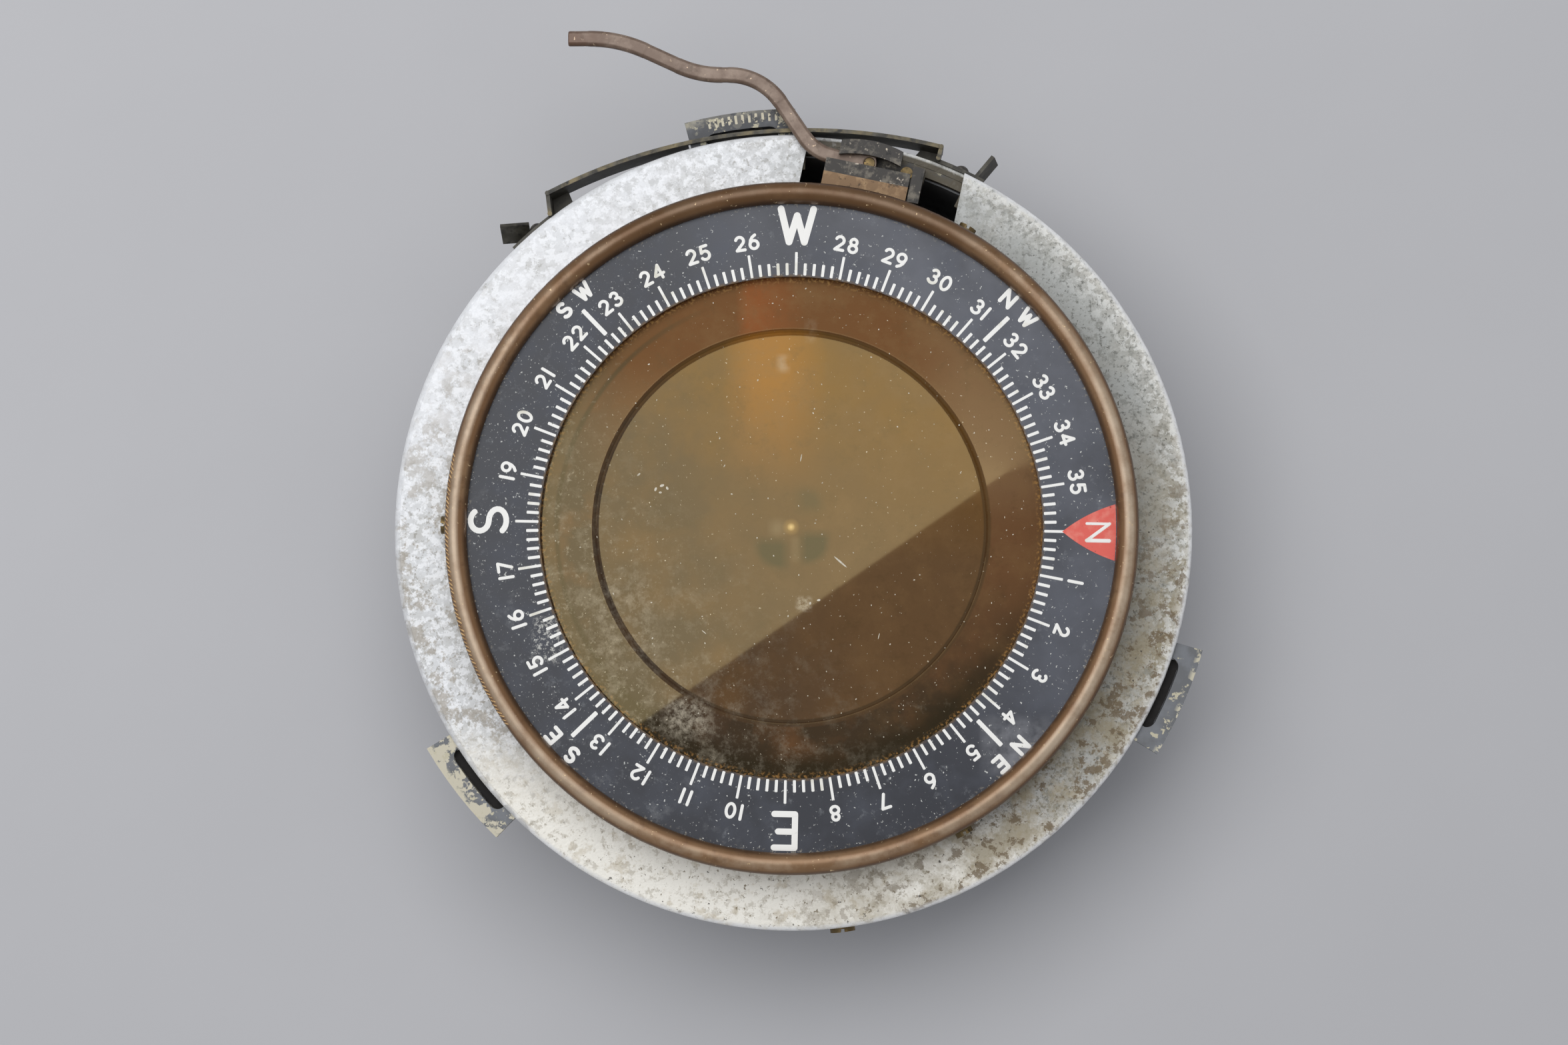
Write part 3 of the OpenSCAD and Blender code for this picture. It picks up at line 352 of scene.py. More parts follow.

# Old pane over cloudy amber alcohol: sharp gloss, golden towards the far side and crossed there by a painted streak
# of light in amber and red, dusty to the left and below, with the hub's dark quarters dim about the axis and a
# painted glint on its tip
beyond = {"radius": [(37.3, 37.9)]}  # outside the ground ring
windowGlass = makeFinish(
    "amberPaneWithPaintedLight", "#5d432c", roughness=0.02,
    layers=[
        # within the ground ring: golden towards the top, darker and greyer to the left, and a painted amber streak of
        # light from the far side of the bowl
        {"tone": "#734c0f", "size": 18, "low": 0.2, "high": 0.6, "detail": 3, "where": [(0.1, 1, 0, -4, 32)]},
        {"tone": "#3d312c", "size": 12, "low": 0.32, "high": 0.6, "detail": 4, "amount": 0.95,
         "where": [(-1, -0.3, 0, -6, 26)]},
        {**always, "tone": "#b06c0f", "amount": 0.5,
         "where": [(1, 0, 0, -13, -7), (-1, 0, 0, -7, 1.5), (0, 1, 0, 6, 28)]},
        # outside it: a brown base, a dark red-brown stain towards the top crossed by a painted red streak of light,
        # greyer brown to the upper right, darker towards the bottom and to the left
        {**always, **beyond, "tone": "#64432b"},
        {**always, **beyond, "tone": "#5c2a08", "amount": 0.95, "where": [(0, 1, 0, 10, 32)], "rough": 0.5},
        {**always, **beyond, "tone": "#8c3a04", "amount": 0.55,
         "where": [(1, 0, 0, -10.5, -8.3), (-1, 0, 0, -3, 6), (0, 1, 0, 30, 38)]},
        {**always, **beyond, "tone": "#7a5e44", "amount": 0.5, "where": [(1, 0.2, 0, 28, 38), (0, 1, 0, 0, 8)]},
        {**beyond, "tone": "#2f251e", "size": 9, "low": 0.2, "high": 0.5, "amount": 0.9,
         "where": [(0, -1, 0, 8, 34)]},
        {**beyond, "tone": "#352b28", "size": 7, "low": 0.25, "high": 0.5, "detail": 5, "amount": 0.95,
         "where": [(-1, -0.35, 0, 20, 38)]},
        # smudges
        {"tone": "#76593a", "size": 7, "low": 0.46, "high": 0.7, "detail": 7, "rugged": 0.7, "amount": 0.4,
         "where": [(1, 0.5, 0, -20, 10)]},
        {"tone": "#3d2c1a", "size": 4.5, "low": 0.52, "high": 0.74, "detail": 8, "rugged": 0.75, "amount": 0.4},
        # pale band and dark line along the rim
        {**always, "tone": "#54412c", "amount": 0.5, "where": [(-1, 0, 0, 24, 40)], "radius": [(44.6, 45.1)]},
        {**always, "tone": "#1d1610", "amount": 0.7, "where": [(-1, 0, 0, 14, 32)],
         "radius": [(43.6, 44.1), (44.9, 44.5)]},
        {**always, "tone": "#1d1610", "amount": 0.85, "where": [(0, -1, 0, 14, 34)], "radius": [(41.0, 45.0)]},
        # dust, wiped streaks and crumbs
        {"tone": "#a39a88", "size": 4.2, "low": 0.5, "high": 0.76, "detail": 8, "rugged": 0.78, "amount": 0.7,
         "where": [(-0.72, -0.7, 0, 6, 44)]},
        {"tone": "#b9b09c", "size": 0.9, "low": 0.58, "high": 0.72, "detail": 6, "rugged": 0.7, "amount": 0.6,
         "where": [(-1, -0.4, 0, 14, 44)]},
        {"tone": "#998f7d", "size": 3.0, "low": 0.58, "high": 0.78, "detail": 7, "rugged": 0.75, "amount": 0.5,
         "where": [(0, -1, 0, 22, 42)]},
        {"tone": "#d6cab2", "size": 2.0, "low": 0.3, "high": 0.6, "amount": 0.25,
         "where": patch(-1.8, -1.2, 30.2, 31.8, 1.3)},
        {"tone": "#d6cab2", "size": 2.0, "low": 0.3, "high": 0.6, "amount": 0.14,
         "where": patch(3.5, 3.9, 35.8, 38.4, 1.2)},
        {"tone": "#c9bfab", "size": 1.4, "low": 0.42, "high": 0.62, "detail": 7, "rugged": 0.75, "amount": 0.55,
         "where": patch(-22.5, -16.5, -38, -33.5, 2.5)},
        {"tone": "#c9bfab", "size": 1.0, "low": 0.42, "high": 0.62, "detail": 7, "rugged": 0.75, "amount": 0.55,
         "where": patch(1.6, 3.2, -15.2, -13.8, 1.0)},
        {"tone": "#bfb5a2", "size": 1.8, "low": 0.46, "high": 0.64, "detail": 7, "rugged": 0.75, "amount": 0.25,
         "where": patch(-36, -28, -24, -12, 5)},
        {"tone": "#d8cdb6", "size": 0.5, "low": 0.72, "high": 0.75, "detail": 2, "amount": 0.8},
        {"tone": "#b0824a", "size": 0.6, "low": 0.5, "high": 0.62, "detail": 3, "amount": 0.7,
         "radius": [(46.1, 46.9)]},
        # the ground ring
        {**always, "tone": "#1d1610", "amount": 0.3, "radius": [(36.1, 36.4), (37.8, 37.5)]},
        # the hub seen dim through the liquid: dark quarters and paler patches, with a painted glint and its halo on
        # its tip
        {**always, "tone": "#252b22", "amount": 0.85, "where": patch(3.0, 6.0, -5.8, -2.2, 2.0),
         "radius": [(9.0, 7.2)]},
        {**always, "tone": "#252b22", "amount": 0.85, "where": patch(-5.4, -2.0, -7.0, -3.6, 2.2),
         "radius": [(9.2, 7.4)]},
        {**always, "tone": "#363529", "amount": 0.6, "where": patch(2.8, 4.6, 4.4, 6.2, 2.8), "radius": [(9.4, 7.0)]},
        {**always, "tone": "#8f8064", "amount": 0.35, "where": patch(-2.9, -2.3, -0.6, 0.2, 1.8)},
        {**always, "tone": "#8a7c5f", "amount": 0.2, "where": patch(0.5, 1.1, -6.0, -2.4, 0.9)},
        # painted glint on the hub's tip, with its halo
        {**always, "tone": "#c09a5a", "amount": 0.45, "radius": [(1.7, 0.5)]},
        {**always, "tone": "#ecca88", "amount": 0.85, "radius": [(0.8, 0.1)]},
    ],
    sockets={"IOR": 1.55, "Specular Tint": hexColour("#ffe7ab")})

# Sediment of the old alcohol low in the bowl: dull amber
liquidAmber = makeFinish(
    "amberSediment", "#62472b", roughness=0.7,
    layers=[{"tone": "#6e4f2c", "size": 18, "low": 0.4, "high": 0.7, "detail": 3}])

# Dry dust and lint on the pane
paleDust = makeFinish(
    "paleDust", "#d9d2c2", roughness=0.9,
    layers=[{"tone": "#b5ac98", "size": 1.0, "low": 0.45, "high": 0.65}])

bowlBrass = makeFinish(
    "brownBowlLacquer", "#5e4228", metallic=0.1, roughness=0.6,  # lacquered inside of the bowl
    layers=[{"tone": "#6e4c2a", "size": 9, "low": 0.45, "high": 0.68}])
hubBrassAndPaintedGlint = makeFinish(
    "hubBrassAndPaintedGlint", "#39433a", metallic=0.1, roughness=0.4,  # brass gone green-black, with a painted glint at its tip
    layers=[{"tone": "#7d7460", "size": 3, "low": 0.5, "high": 0.6},
            {**always, "tone": "#fff0c0", "radius": [(1.6, 0.7)]}])
magnetSteel = makeFinish(
    "blackMagnetSteel", "#1c2422", metallic=0.1, roughness=0.5,  # blued steel
    layers=[{"tone": "#2c3634", "size": 1.5, "low": 0.5, "high": 0.7}])
plainSteel = makeFinish(
    "needleSteel", "#8e8f90", metallic=0.95, roughness=0.3,  # polished steel
    layers=[{"tone": "#6f6f6e", "size": 1, "low": 0.5, "high": 0.7}])
jewelStone = makeFinish(
    "rubyJewel", "#9c3550", roughness=0.12,  # polished red stone
    layers=[{"tone": "#7a2a40", "size": 0.6, "low": 0.5, "high": 0.7}])
sealRubber = makeFinish(
    "blackSealRubber", "#1d1b1a", roughness=0.85,  # matt rubber
    layers=[{"tone": "#292625", "size": 2, "low": 0.5, "high": 0.7}], grain=[(0.5, 0.2, 0.03)])

# Lever: brown lacquer, worn paler in patches and darker towards the tip
leverBrass = makeFinish(
    "wornLeverLacquer", "#6f5c4f", metallic=0.2, roughness=0.42,
    layers=[
        {"tone": "#8c7a6c", "size": 5, "low": 0.45, "high": 0.68, "detail": 6, "rugged": 0.65},
        {"tone": "#574639", "size": 2.2, "low": 0.58, "high": 0.7, "detail": 5, "amount": 0.8},
        {"tone": "#63493a", "size": 3, "low": 0.3, "high": 0.55, "amount": 0.8, "where": [(-1, 0, 0, 34, 42)]},
        {"tone": "#bda78e", "size": 0.9, "low": 0.66, "high": 0.72, "rough": 0.35, "metal": 0.5},
    ],
    grain=[(1.2, 0.12, 0.06), (0.4, 0.12, 0.02)])

# Black finish of the clamp, rubbed grey
clampBlack = makeFinish(
    "rubbedBlackClamp", "#35322f", metallic=0.3, roughness=0.5,
    layers=[
        {"tone": "#6c665c", "size": 2.6, "low": 0.5, "high": 0.64, "detail": 6, "rugged": 0.65},
        {"tone": "#9a9184", "size": 1.0, "low": 0.62, "high": 0.7, "metal": 0.6, "rough": 0.38},
        {"tone": "#1d1b1a", "size": 1.6, "low": 0.6, "high": 0.68},
    ],
    grain=[(0.7, 0.25, 0.05)])

# Shoe: brown fibre pad in a black holder
padFibre = makeFinish(
    "brownPadFibre", "#8a6d4e", roughness=0.65,
    layers=[{"tone": "#a98a66", "size": 1.6, "low": 0.5, "high": 0.66, "detail": 6},
            {"tone": "#54402c", "size": 1.0, "low": 0.58, "high": 0.68}],
    grain=[(0.4, 0.3, 0.04)])

# Strip: brass gone nearly black, olive along its upper edge
stripBrass = makeFinish(
    "oliveStripBrass", "#3b3830", metallic=0.3, roughness=0.48,
    layers=[
        {"tone": "#7a6e50", "size": 4, "low": 0.4, "high": 0.6, "amount": 0.85, "where": [(0, 0, 1, 39.4, 39.75)]},
        {"tone": "#55524a", "size": 2.4, "low": 0.5, "high": 0.66, "amount": 0.7},
        {"tone": "#262420", "size": 2.2, "low": 0.54, "high": 0.66},
    ],
    grain=[(0.9, 0.2, 0.05)])

dress(coverPaint, "cover_flange")
dress(casePaint, "outer_case")
dress(lugPaint, "mounting_ring")
dress(bezelPatinaAndHighlight, "bezel")
dress(ringBrass, "ring_skirt", "glass_retainer")
dress(screwBrass, "cover_screws", "guide_screws", "bowl_screws", "bracket_rivets", "lever_pin", "shoe_pins",
      "bridge_screws", "diaphragm_screws", "filler_plug", "pivot_post")
dress(dialEnamel, "dial_plate")
dress(windowGlass, "bowl_glass")
dress(bowlBrass, "bowl", "damping_wires", "pivot_bridge", "diaphragm_clamp", "expansion_diaphragm")
dress(hubBrassAndPaintedGlint, "magnet_hub")
dress(magnetSteel, "bar_magnets")
dress(plainSteel, "pivot_needle")
dress(jewelStone, "pivot_jewel")
dress(sealRubber, "glass_seal", "case_pad", "filler_washer")
dress(leverBrass, "clamp_lever")
dress(clampBlack, "clamp_bracket", "shoe_holder", "strip_rivets")
dress(padFibre, "shoe_pad")
dress(stripBrass, "spring_strip")
print("finishes on the solids")

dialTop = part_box("dial_plate")[1][2]
north = math.radians(-1.2)  # from +X to the dial's north


def arcStroke(cx, cy, rx, ry, start, end, count):  # part of an ellipse, from start to end in degrees
    steps = [math.radians(start + (end - start) * i / count) for i in range(count + 1)]
    return [(cx + rx * math.cos(a), cy + ry * math.sin(a)) for a in steps]


# Single-stroke figures and letters on a height of 1
glyphs = {
    "0": (0.62, [arcStroke(0.31, 0.5, 0.31, 0.5, 0, 360, 22)]),
    "1": (0.18, [[(0.09, 0), (0.09, 1)]]),
    "2": (0.62, [arcStroke(0.3, 0.71, 0.29, 0.29, 160, -38, 12) + [(0.02, 0.02)], [(0.02, 0.02), (0.62, 0.02)]]),
    "3": (0.6, [arcStroke(0.28, 0.755, 0.25, 0.245, 150, -85, 12), arcStroke(0.28, 0.27, 0.31, 0.27, 88, -150, 14)]),
    "4": (0.68, [[(0.48, 0), (0.48, 1)], [(0.48, 1), (0.0, 0.3)], [(0.0, 0.3), (0.68, 0.3)]]),
    "5": (0.6, [[(0.56, 1), (0.12, 1)], [(0.12, 1), (0.06, 0.54)], arcStroke(0.29, 0.31, 0.31, 0.31, 132, -150, 16)]),
    "6": (0.6, [arcStroke(0.31, 0.3, 0.3, 0.3, 0, 360, 20), [(0.02, 0.36), (0.1, 0.66), (0.25, 0.87), (0.46, 1.0)]]),
    "7": (0.6, [[(0.0, 1), (0.6, 1)], [(0.6, 1), (0.22, 0)]]),
    "8": (0.62, [arcStroke(0.31, 0.76, 0.235, 0.235, 0, 360, 18), arcStroke(0.31, 0.265, 0.29, 0.265, 0, 360, 20)]),
    "9": (0.6, [arcStroke(0.29, 0.7, 0.3, 0.3, 0, 360, 20), [(0.58, 0.64), (0.5, 0.34), (0.35, 0.13), (0.14, 0.0)]]),
    "N": (0.76, [[(0, 0), (0, 1)], [(0, 1), (0.76, 0)], [(0.76, 0), (0.76, 1)]]),
    "E": (0.62, [[(0, 0), (0, 1)], [(0, 1), (0.62, 1)], [(0, 0.52), (0.5, 0.52)], [(0, 0), (0.62, 0)]]),
    "S": (0.66, [arcStroke(0.33, 0.745, 0.29, 0.255, 35, 270, 14)
                 + arcStroke(0.33, 0.245, 0.33, 0.245, 90, -145, 14)[1:]]),
    "W": (0.98, [[(0, 1), (0.26, 0)], [(0.26, 0), (0.49, 0.8)], [(0.49, 0.8), (0.72, 0)], [(0.72, 0), (0.98, 1)]]),
}
# Steps of a round end, its thinnest swell, the lift of each next stroke: shares of the stroke; closedGap in metres
lettering = {"roundEnd": (0.0, 0.08, 0.3, 0.65), "tip": 0.02, "lift": 0.12, "closedGap": 1e-9}


def drawStroke(points, stroke, lift):  # a filled engraved line with round ends, flattened later
    spots = [Vector((x, y, lift)) for x, y in points]
    ahead = (spots[1] - spots[0]).normalized()
    back = (spots[-2] - spots[-1]).normalized()
    closed = (spots[0] - spots[-1]).length < lettering["closedGap"]
    ends = () if closed else lettering["roundEnd"]
    path = [(spots[0] - ahead * stroke / 2 * (1 - t), math.sqrt(1 - (1 - t) ** 2)) for t in ends]
    path += [(spot, 1.0) for spot in (spots[:-1] if closed else spots)]
    path += [(spots[-1] - back * stroke / 2 * (1 - t), math.sqrt(1 - (1 - t) ** 2)) for t in reversed(ends)]
    line = bpy.data.curves.new("stroke", "CURVE")
    line.dimensions = "3D"
    line.bevel_depth = stroke / 2
    line.bevel_resolution = 1
    spline = line.splines.new("POLY")
    spline.points.add(len(path) - 1)
    for point, (spot, swell) in zip(spline.points, path):
        point.co = (*spot, 1)
        point.radius = max(swell, lettering["tip"])
    spline.use_cyclic_u = closed
    piece = bpy.data.objects.new("stroke", line)
    bpy.context.scene.collection.objects.link(piece)
    return piece


def drawWord(text, height, stroke, gap):  # glyphs side by side, centred, as one flat mesh
    tall = height - stroke
    widths = [glyphs[c][0] * tall for c in text]
    left = -(sum(widths) + (len(text) - 1) * (gap + stroke)) / 2
    strokes = []
    for c, wide in zip(text, widths):
        for number, points in enumerate(glyphs[c][1]):  # each a little higher, so that no two tops lie in one plane
            spots = [(left + x * tall, (y - 0.5) * tall) for x, y in points]
            strokes.append(drawStroke(spots, stroke, lettering["lift"] * number * stroke))
        left += wide + gap + stroke
    word = joinUp(strokes, fromCurves=True)
    bpy.ops.object.shade_flat()
    return word


def layOnDial(piece, bearing, radius, film):  # top outward, at a bearing from north, flattened to a film
    turn = north - math.radians(bearing)
    piece.data.transform(Matrix.Translation((0, 0, dialTop)) @ Matrix.Rotation(turn - math.pi / 2, 4, "Z")
                         @ Matrix.Translation((0, radius, 0)) @ Matrix.Diagonal((1, 1, film, 1)))
    piece.data.update()
    return piece


# Marks of the dial; a film is the share of its thickness that a mark keeps, tickCorner a share of the tick's width
dialMarks = {"minorStep": 2, "minorIn": 47.55 * mm, "minorOut": 49.85 * mm, "minorWide": 0.56 * mm,
             "tenStep": 10, "tenOut": 51.95 * mm, "tenWide": 0.5 * mm,
             "heavyIn": 50.4 * mm, "heavyOut": 56.9 * mm, "heavyWide": 0.83 * mm,
             "tickThick": 0.3 * mm, "tickCorner": 0.18, "film": 0.1,
             "figureRadius": 54.35 * mm, "figureTall": 3.15 * mm, "figureStroke": 0.58 * mm, "figureGap": 0.42 * mm,
             "cardinals": {"E": (90, 7.4 * mm, 1.15 * mm), "S": (180, 7.84 * mm, 1.08 * mm),
                           "W": (270, 7.6 * mm, 1.3 * mm)},  # bearing, height, stroke
             "cardinalRadius": 57.0 * mm, "cardinalFilm": 0.05,
             "quarters": {"NE": 45, "SE": 135, "SW": 225, "NW": 315}, "quarterRadius": 59.35 * mm,
             "quarterTall": 3.4 * mm, "quarterStroke": 0.75 * mm, "quarterSpread": 2.45, "quarterFilm": 0.08,
             "northRadius": 57.6 * mm, "northTall": 4.9 * mm, "northStroke": 0.72 * mm, "northFilm": 0.16}


def cutTick(inner, outer, wide):  # one tick, modelled flat with its corners taken off
    clearSelection()
    bpy.ops.mesh.primitive_cube_add(size=1, location=(0, 0, 0))
    tick = bpy.context.object
    bpy.ops.object.mode_set(mode="EDIT")
    bpy.ops.transform.resize(value=(wide, outer - inner, dialMarks["tickThick"]))
    bpy.ops.mesh.select_all(action="SELECT")
    bpy.ops.mesh.bevel(offset=wide * dialMarks["tickCorner"], segments=1, affect="EDGES")
    bpy.ops.object.mode_set(mode="OBJECT")
    return tick


ticks = []
minorTick = cutTick(dialMarks["minorIn"], dialMarks["minorOut"], dialMarks["minorWide"])
tenTick = cutTick(dialMarks["minorIn"], dialMarks["tenOut"], dialMarks["tenWide"])
heavyTick = cutTick(dialMarks["heavyIn"], dialMarks["heavyOut"], dialMarks["heavyWide"])
for bearing in range(0, 360, dialMarks["minorStep"]):
    isTen = bearing % dialMarks["tenStep"] == 0
    source, outer = (tenTick, dialMarks["tenOut"]) if isTen else (minorTick, dialMarks["minorOut"])
    ticks.append(layOnDial(copyPiece(source), bearing, (dialMarks["minorIn"] + outer) / 2, dialMarks["film"]))
heavyMiddle = (dialMarks["heavyIn"] + dialMarks["heavyOut"]) / 2
for bearing in dialMarks["quarters"].values():
    ticks.append(layOnDial(copyPiece(heavyTick), bearing, heavyMiddle, dialMarks["film"]))
for spare in (minorTick, tenTick, heavyTick):
    bpy.data.objects.remove(spare)
takeUp(joinUp(ticks), "dialTicks", markPaint, "bearing_ring")
print("ticks", len(ticks))

figures = []
for bearing in range(0, 360, dialMarks["tenStep"]):
    if bearing % 90:  # letters stand at the quarter turns
        tens = str(bearing // 10)
        word = drawWord(tens, dialMarks["figureTall"], dialMarks["figureStroke"], dialMarks["figureGap"])
        figures.append(layOnDial(word, bearing, dialMarks["figureRadius"], dialMarks["film"]))
for letter, (bearing, tall, stroke) in dialMarks["cardinals"].items():
    word = drawWord(letter, tall, stroke, 0)
    figures.append(layOnDial(word, bearing, dialMarks["cardinalRadius"], dialMarks["cardinalFilm"]))
for pair, bearing in dialMarks["quarters"].items():
    for letter, side in zip(pair, (-1, 1)):
        word = drawWord(letter, dialMarks["quarterTall"], dialMarks["quarterStroke"], 0)
        figures.append(layOnDial(word, bearing + side * dialMarks["quarterSpread"], dialMarks["quarterRadius"],
                                 dialMarks["quarterFilm"]))
northLetter = drawWord("N", dialMarks["northTall"], dialMarks["northStroke"], 0)
figures.append(layOnDial(northLetter, 0, dialMarks["northRadius"], dialMarks["northFilm"]))
takeUp(joinUp(figures), "dialFigures", markPaint, "bearing_ring")
print("figures", len(figures))

# The drawn lever with its edges worn round
leverShape = {"merge": 0.002 * mm, "grid": 0.16 * mm, "wear": 0.5, "rounds": 6}
clearSelection()
lever = copyPiece(cad["clamp_lever"])
lever.select_set(True)
bpy.context.view_layer.objects.active = lever
bpy.ops.object.mode_set(mode="EDIT")
bpy.ops.mesh.select_all(action="SELECT")
bpy.ops.mesh.remove_doubles(threshold=leverShape["merge"])
bpy.ops.object.mode_set(mode="OBJECT")
skin = lever.modifiers.new("skin", "REMESH")
skin.mode = "VOXEL"
skin.voxel_size = leverShape["grid"]
wear = lever.modifiers.new("wear", "SMOOTH")
wear.factor = leverShape["wear"]
wear.iterations = leverShape["rounds"]
for modifier in ("skin", "wear"):
    bpy.ops.object.modifier_apply(modifier=modifier)
bpy.ops.object.shade_smooth()
takeUp(lever, "wornLever", leverBrass, "clamp_lever")
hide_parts("clamp_lever")
print("lever", len(lever.data.polygons), "faces")

# Triangle with its point to the centre; sideSteps points along each side, baseBulge a share of the bulge
northMark = {"apex": 50.9 * mm, "base": 60.75 * mm, "half": 5.3 * mm, "bulge": 0.55 * mm, "baseBulge": 0.35,
             "thick": 0.03 * mm, "sideSteps": 16}
corners = [Vector((0, northMark["apex"], 0)), Vector((northMark["half"], northMark["base"], 0)),
           Vector((-northMark["half"], northMark["base"], 0))]
clearSelection()
bpy.ops.mesh.primitive_circle_add(vertices=3 * northMark["sideSteps"], radius=1, fill_type="NGON")
arrow = bpy.context.object
for i, vert in enumerate(arrow.data.vertices):  # the circle's rim drawn out to the mark's outline
    side = i // northMark["sideSteps"]
    t = i / northMark["sideSteps"] % 1
    start, end = corners[side], corners[(side + 1) % 3]
    along = (end - start).normalized()
    out = Vector((along.y, -along.x, 0))
    swell = northMark["bulge"] * 4 * t * (1 - t) * (northMark["baseBulge"] if side == 1 else 1)
    vert.co = start.lerp(end, t) + out * swell
bpy.ops.object.mode_set(mode="EDIT")
bpy.ops.mesh.select_all(action="SELECT")
bpy.ops.mesh.extrude_region_move(TRANSFORM_OT_translate={"value": (0, 0, northMark["thick"])})
bpy.ops.mesh.select_all(action="SELECT")
bpy.ops.mesh.normals_make_consistent(inside=False)
bpy.ops.object.mode_set(mode="OBJECT")
layOnDial(arrow, 0, 0, 1)
takeUp(arrow, "northMark", northPaint, "bearing_ring")

# Scale lines on the top lug, step and middle in degrees
lugMarks = {"radius": 80.0 * mm, "long": 1.7 * mm, "wide": 0.5 * mm, "film": 0.1,
            "count": 12, "step": 0.93, "middle": 96.4}
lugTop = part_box("mounting_ring")[1][2]
lines = []
lugTick = cutTick(0, lugMarks["long"], lugMarks["wide"])
for i in range(lugMarks["count"]):
    line = copyPiece(lugTick)
    turn = math.radians(lugMarks["middle"] + (i - (lugMarks["count"] - 1) / 2) * lugMarks["step"])
    line.data.transform(Matrix.Translation((0, 0, lugTop)) @ Matrix.Rotation(turn - math.pi / 2, 4, "Z")
                        @ Matrix.Translation((0, lugMarks["radius"], 0))
                        @ Matrix.Diagonal((1, 1, lugMarks["film"], 1)))
    lines.append(line)
bpy.data.objects.remove(lugTick)
takeUp(joinUp(lines), "lugLines", scalePaint, "case")
print("marks on dial and lug")


def smallBall(rings, size, sides=8):
    clearSelection()
    bpy.ops.mesh.primitive_uv_sphere_add(segments=sides, ring_count=rings, radius=0.5)
    ball = bpy.context.object
    bpy.ops.object.mode_set(mode="EDIT")
    bpy.ops.mesh.select_all(action="SELECT")
    bpy.ops.transform.resize(value=size)
    bpy.ops.object.mode_set(mode="OBJECT")
    return ball


# Rubbed spots along the bezel's left edge: from, to, at, sway and slant in degrees, pitch measured on the rim
bezelNicks = {"from": 168, "to": 216, "pitch": 0.82 * mm, "rim": 65.2 * mm, "bead": 63.15 * mm, "tube": 2.05 * mm,
              "height": 49.2 * mm, "sunk": 0.02 * mm, "at": 40, "sway": 4, "slant": 38, "long": 1.5 * mm,
              "wide": 0.34 * mm, "thick": 0.22 * mm, "sizes": (0.75, 1.1), "rings": 6, "seed": 4}
nick = smallBall(bezelNicks["rings"], (bezelNicks["wide"], bezelNicks["long"], bezelNicks["thick"]))
nicks = []
stepDeg = math.degrees(bezelNicks["pitch"] / bezelNicks["rim"])
random.seed(bezelNicks["seed"])
for i in range(int((bezelNicks["to"] - bezelNicks["from"]) / stepDeg)):
    piece = copyPiece(nick)
    turn = math.radians(bezelNicks["from"] + i * stepDeg)
    lean = math.radians(bezelNicks["at"] + random.uniform(-bezelNicks["sway"], bezelNicks["sway"]))
    size = random.uniform(*bezelNicks["sizes"])
    # outward along the tube, then round the bezel
    piece.data.transform(Matrix.Rotation(turn, 4, "Z")
                         @ Matrix.Translation((bezelNicks["bead"], 0, bezelNicks["height"]))
                         @ Matrix.Rotation(math.pi / 2 - lean, 4, "Y")
                         @ Matrix.Translation((0, 0, bezelNicks["tube"] - bezelNicks["sunk"]))
                         @ Matrix.Rotation(math.radians(90 - bezelNicks["slant"]), 4, "Z") @ Matrix.Scale(size, 4))
    nicks.append(piece)
bpy.data.objects.remove(nick)
takeUp(joinUp(nicks), "bezelNicks", nickBrass, "bearing_ring")
print("nicks", len(nicks))

# Sediment over the bridge and under the magnets
liquid = {"edge": 48.2 * mm, "top": 14.4 * mm, "deep": 1.0 * mm, "chamfer": 0.2 * mm, "sides": 128}
clearSelection()
bpy.ops.mesh.primitive_cylinder_add(vertices=liquid["sides"], radius=liquid["edge"], depth=liquid["deep"],
                                    location=(0, 0, liquid["top"] - liquid["deep"] / 2))
disc = bpy.context.object
bpy.ops.object.transform_apply(location=True, rotation=True, scale=True)
bpy.ops.object.mode_set(mode="EDIT")
bpy.ops.mesh.select_all(action="SELECT")
bpy.ops.mesh.bevel(offset=liquid["chamfer"], segments=1, affect="EDGES")
bpy.ops.object.mode_set(mode="OBJECT")
takeUp(disc, "liquidFilm", liquidAmber, "case")
print("liquid under the glass")

# Lint and dust: flakes as (x, y, long, wide, turn) in mm and degrees, then fine specks at random up to count
lint = {"flakes": [(9.3, -6.6, 3.3, 0.34, -41), (1.9, 13.1, 1.5, 0.22, 78), (-24.4, 7.9, 0.9, 0.5, 20),
                   (-25.6, 7.2, 0.8, 0.45, 70), (-23.4, 7.4, 0.7, 0.45, 120), (-24.7, 6.6, 0.6, 0.4, 0),
                   (-28.8, 10.0, 0.8, 0.35, 40), (-12.6, 11.6, 0.6, 0.2, 60), (16.5, -20.6, 1.2, 0.16, 75),
                   (-16.4, -19.8, 1.1, 0.18, -40), (5.2, -13.8, 0.7, 0.4, 10), (3.6, -14.4, 0.6, 0.35, 80)],
        "count": 170, "reach": 45.5, "wide": (0.1, 0.26), "stretch": (1, 1.8), "thick": 0.05, "rings": 4, "seed": 11}
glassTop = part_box("bowl_glass")[1][2]
flake = smallBall(lint["rings"], (1, 1, lint["thick"]))
random.seed(lint["seed"])
spots = list(lint["flakes"])
while len(spots) < lint["count"]:
    x, y = random.uniform(-1, 1) * lint["reach"], random.uniform(-1, 1) * lint["reach"]
    if math.hypot(x, y) < lint["reach"]:
        wide = random.uniform(*lint["wide"])
        spots.append((x, y, wide * random.uniform(*lint["stretch"]), wide, random.uniform(0, 180)))
flakes = []
for x, y, long, wide, turn in spots:
    piece = copyPiece(flake)
    piece.data.transform(Matrix.Translation((x * mm, y * mm, glassTop)) @ Matrix.Rotation(math.radians(turn), 4, "Z")
                         @ Matrix.Diagonal((long * mm, wide * mm, mm, 1)))
    flakes.append(piece)
bpy.data.objects.remove(flake)
takeUp(joinUp(flakes), "glassLint", paleDust, "case")
print("lint", len(flakes))
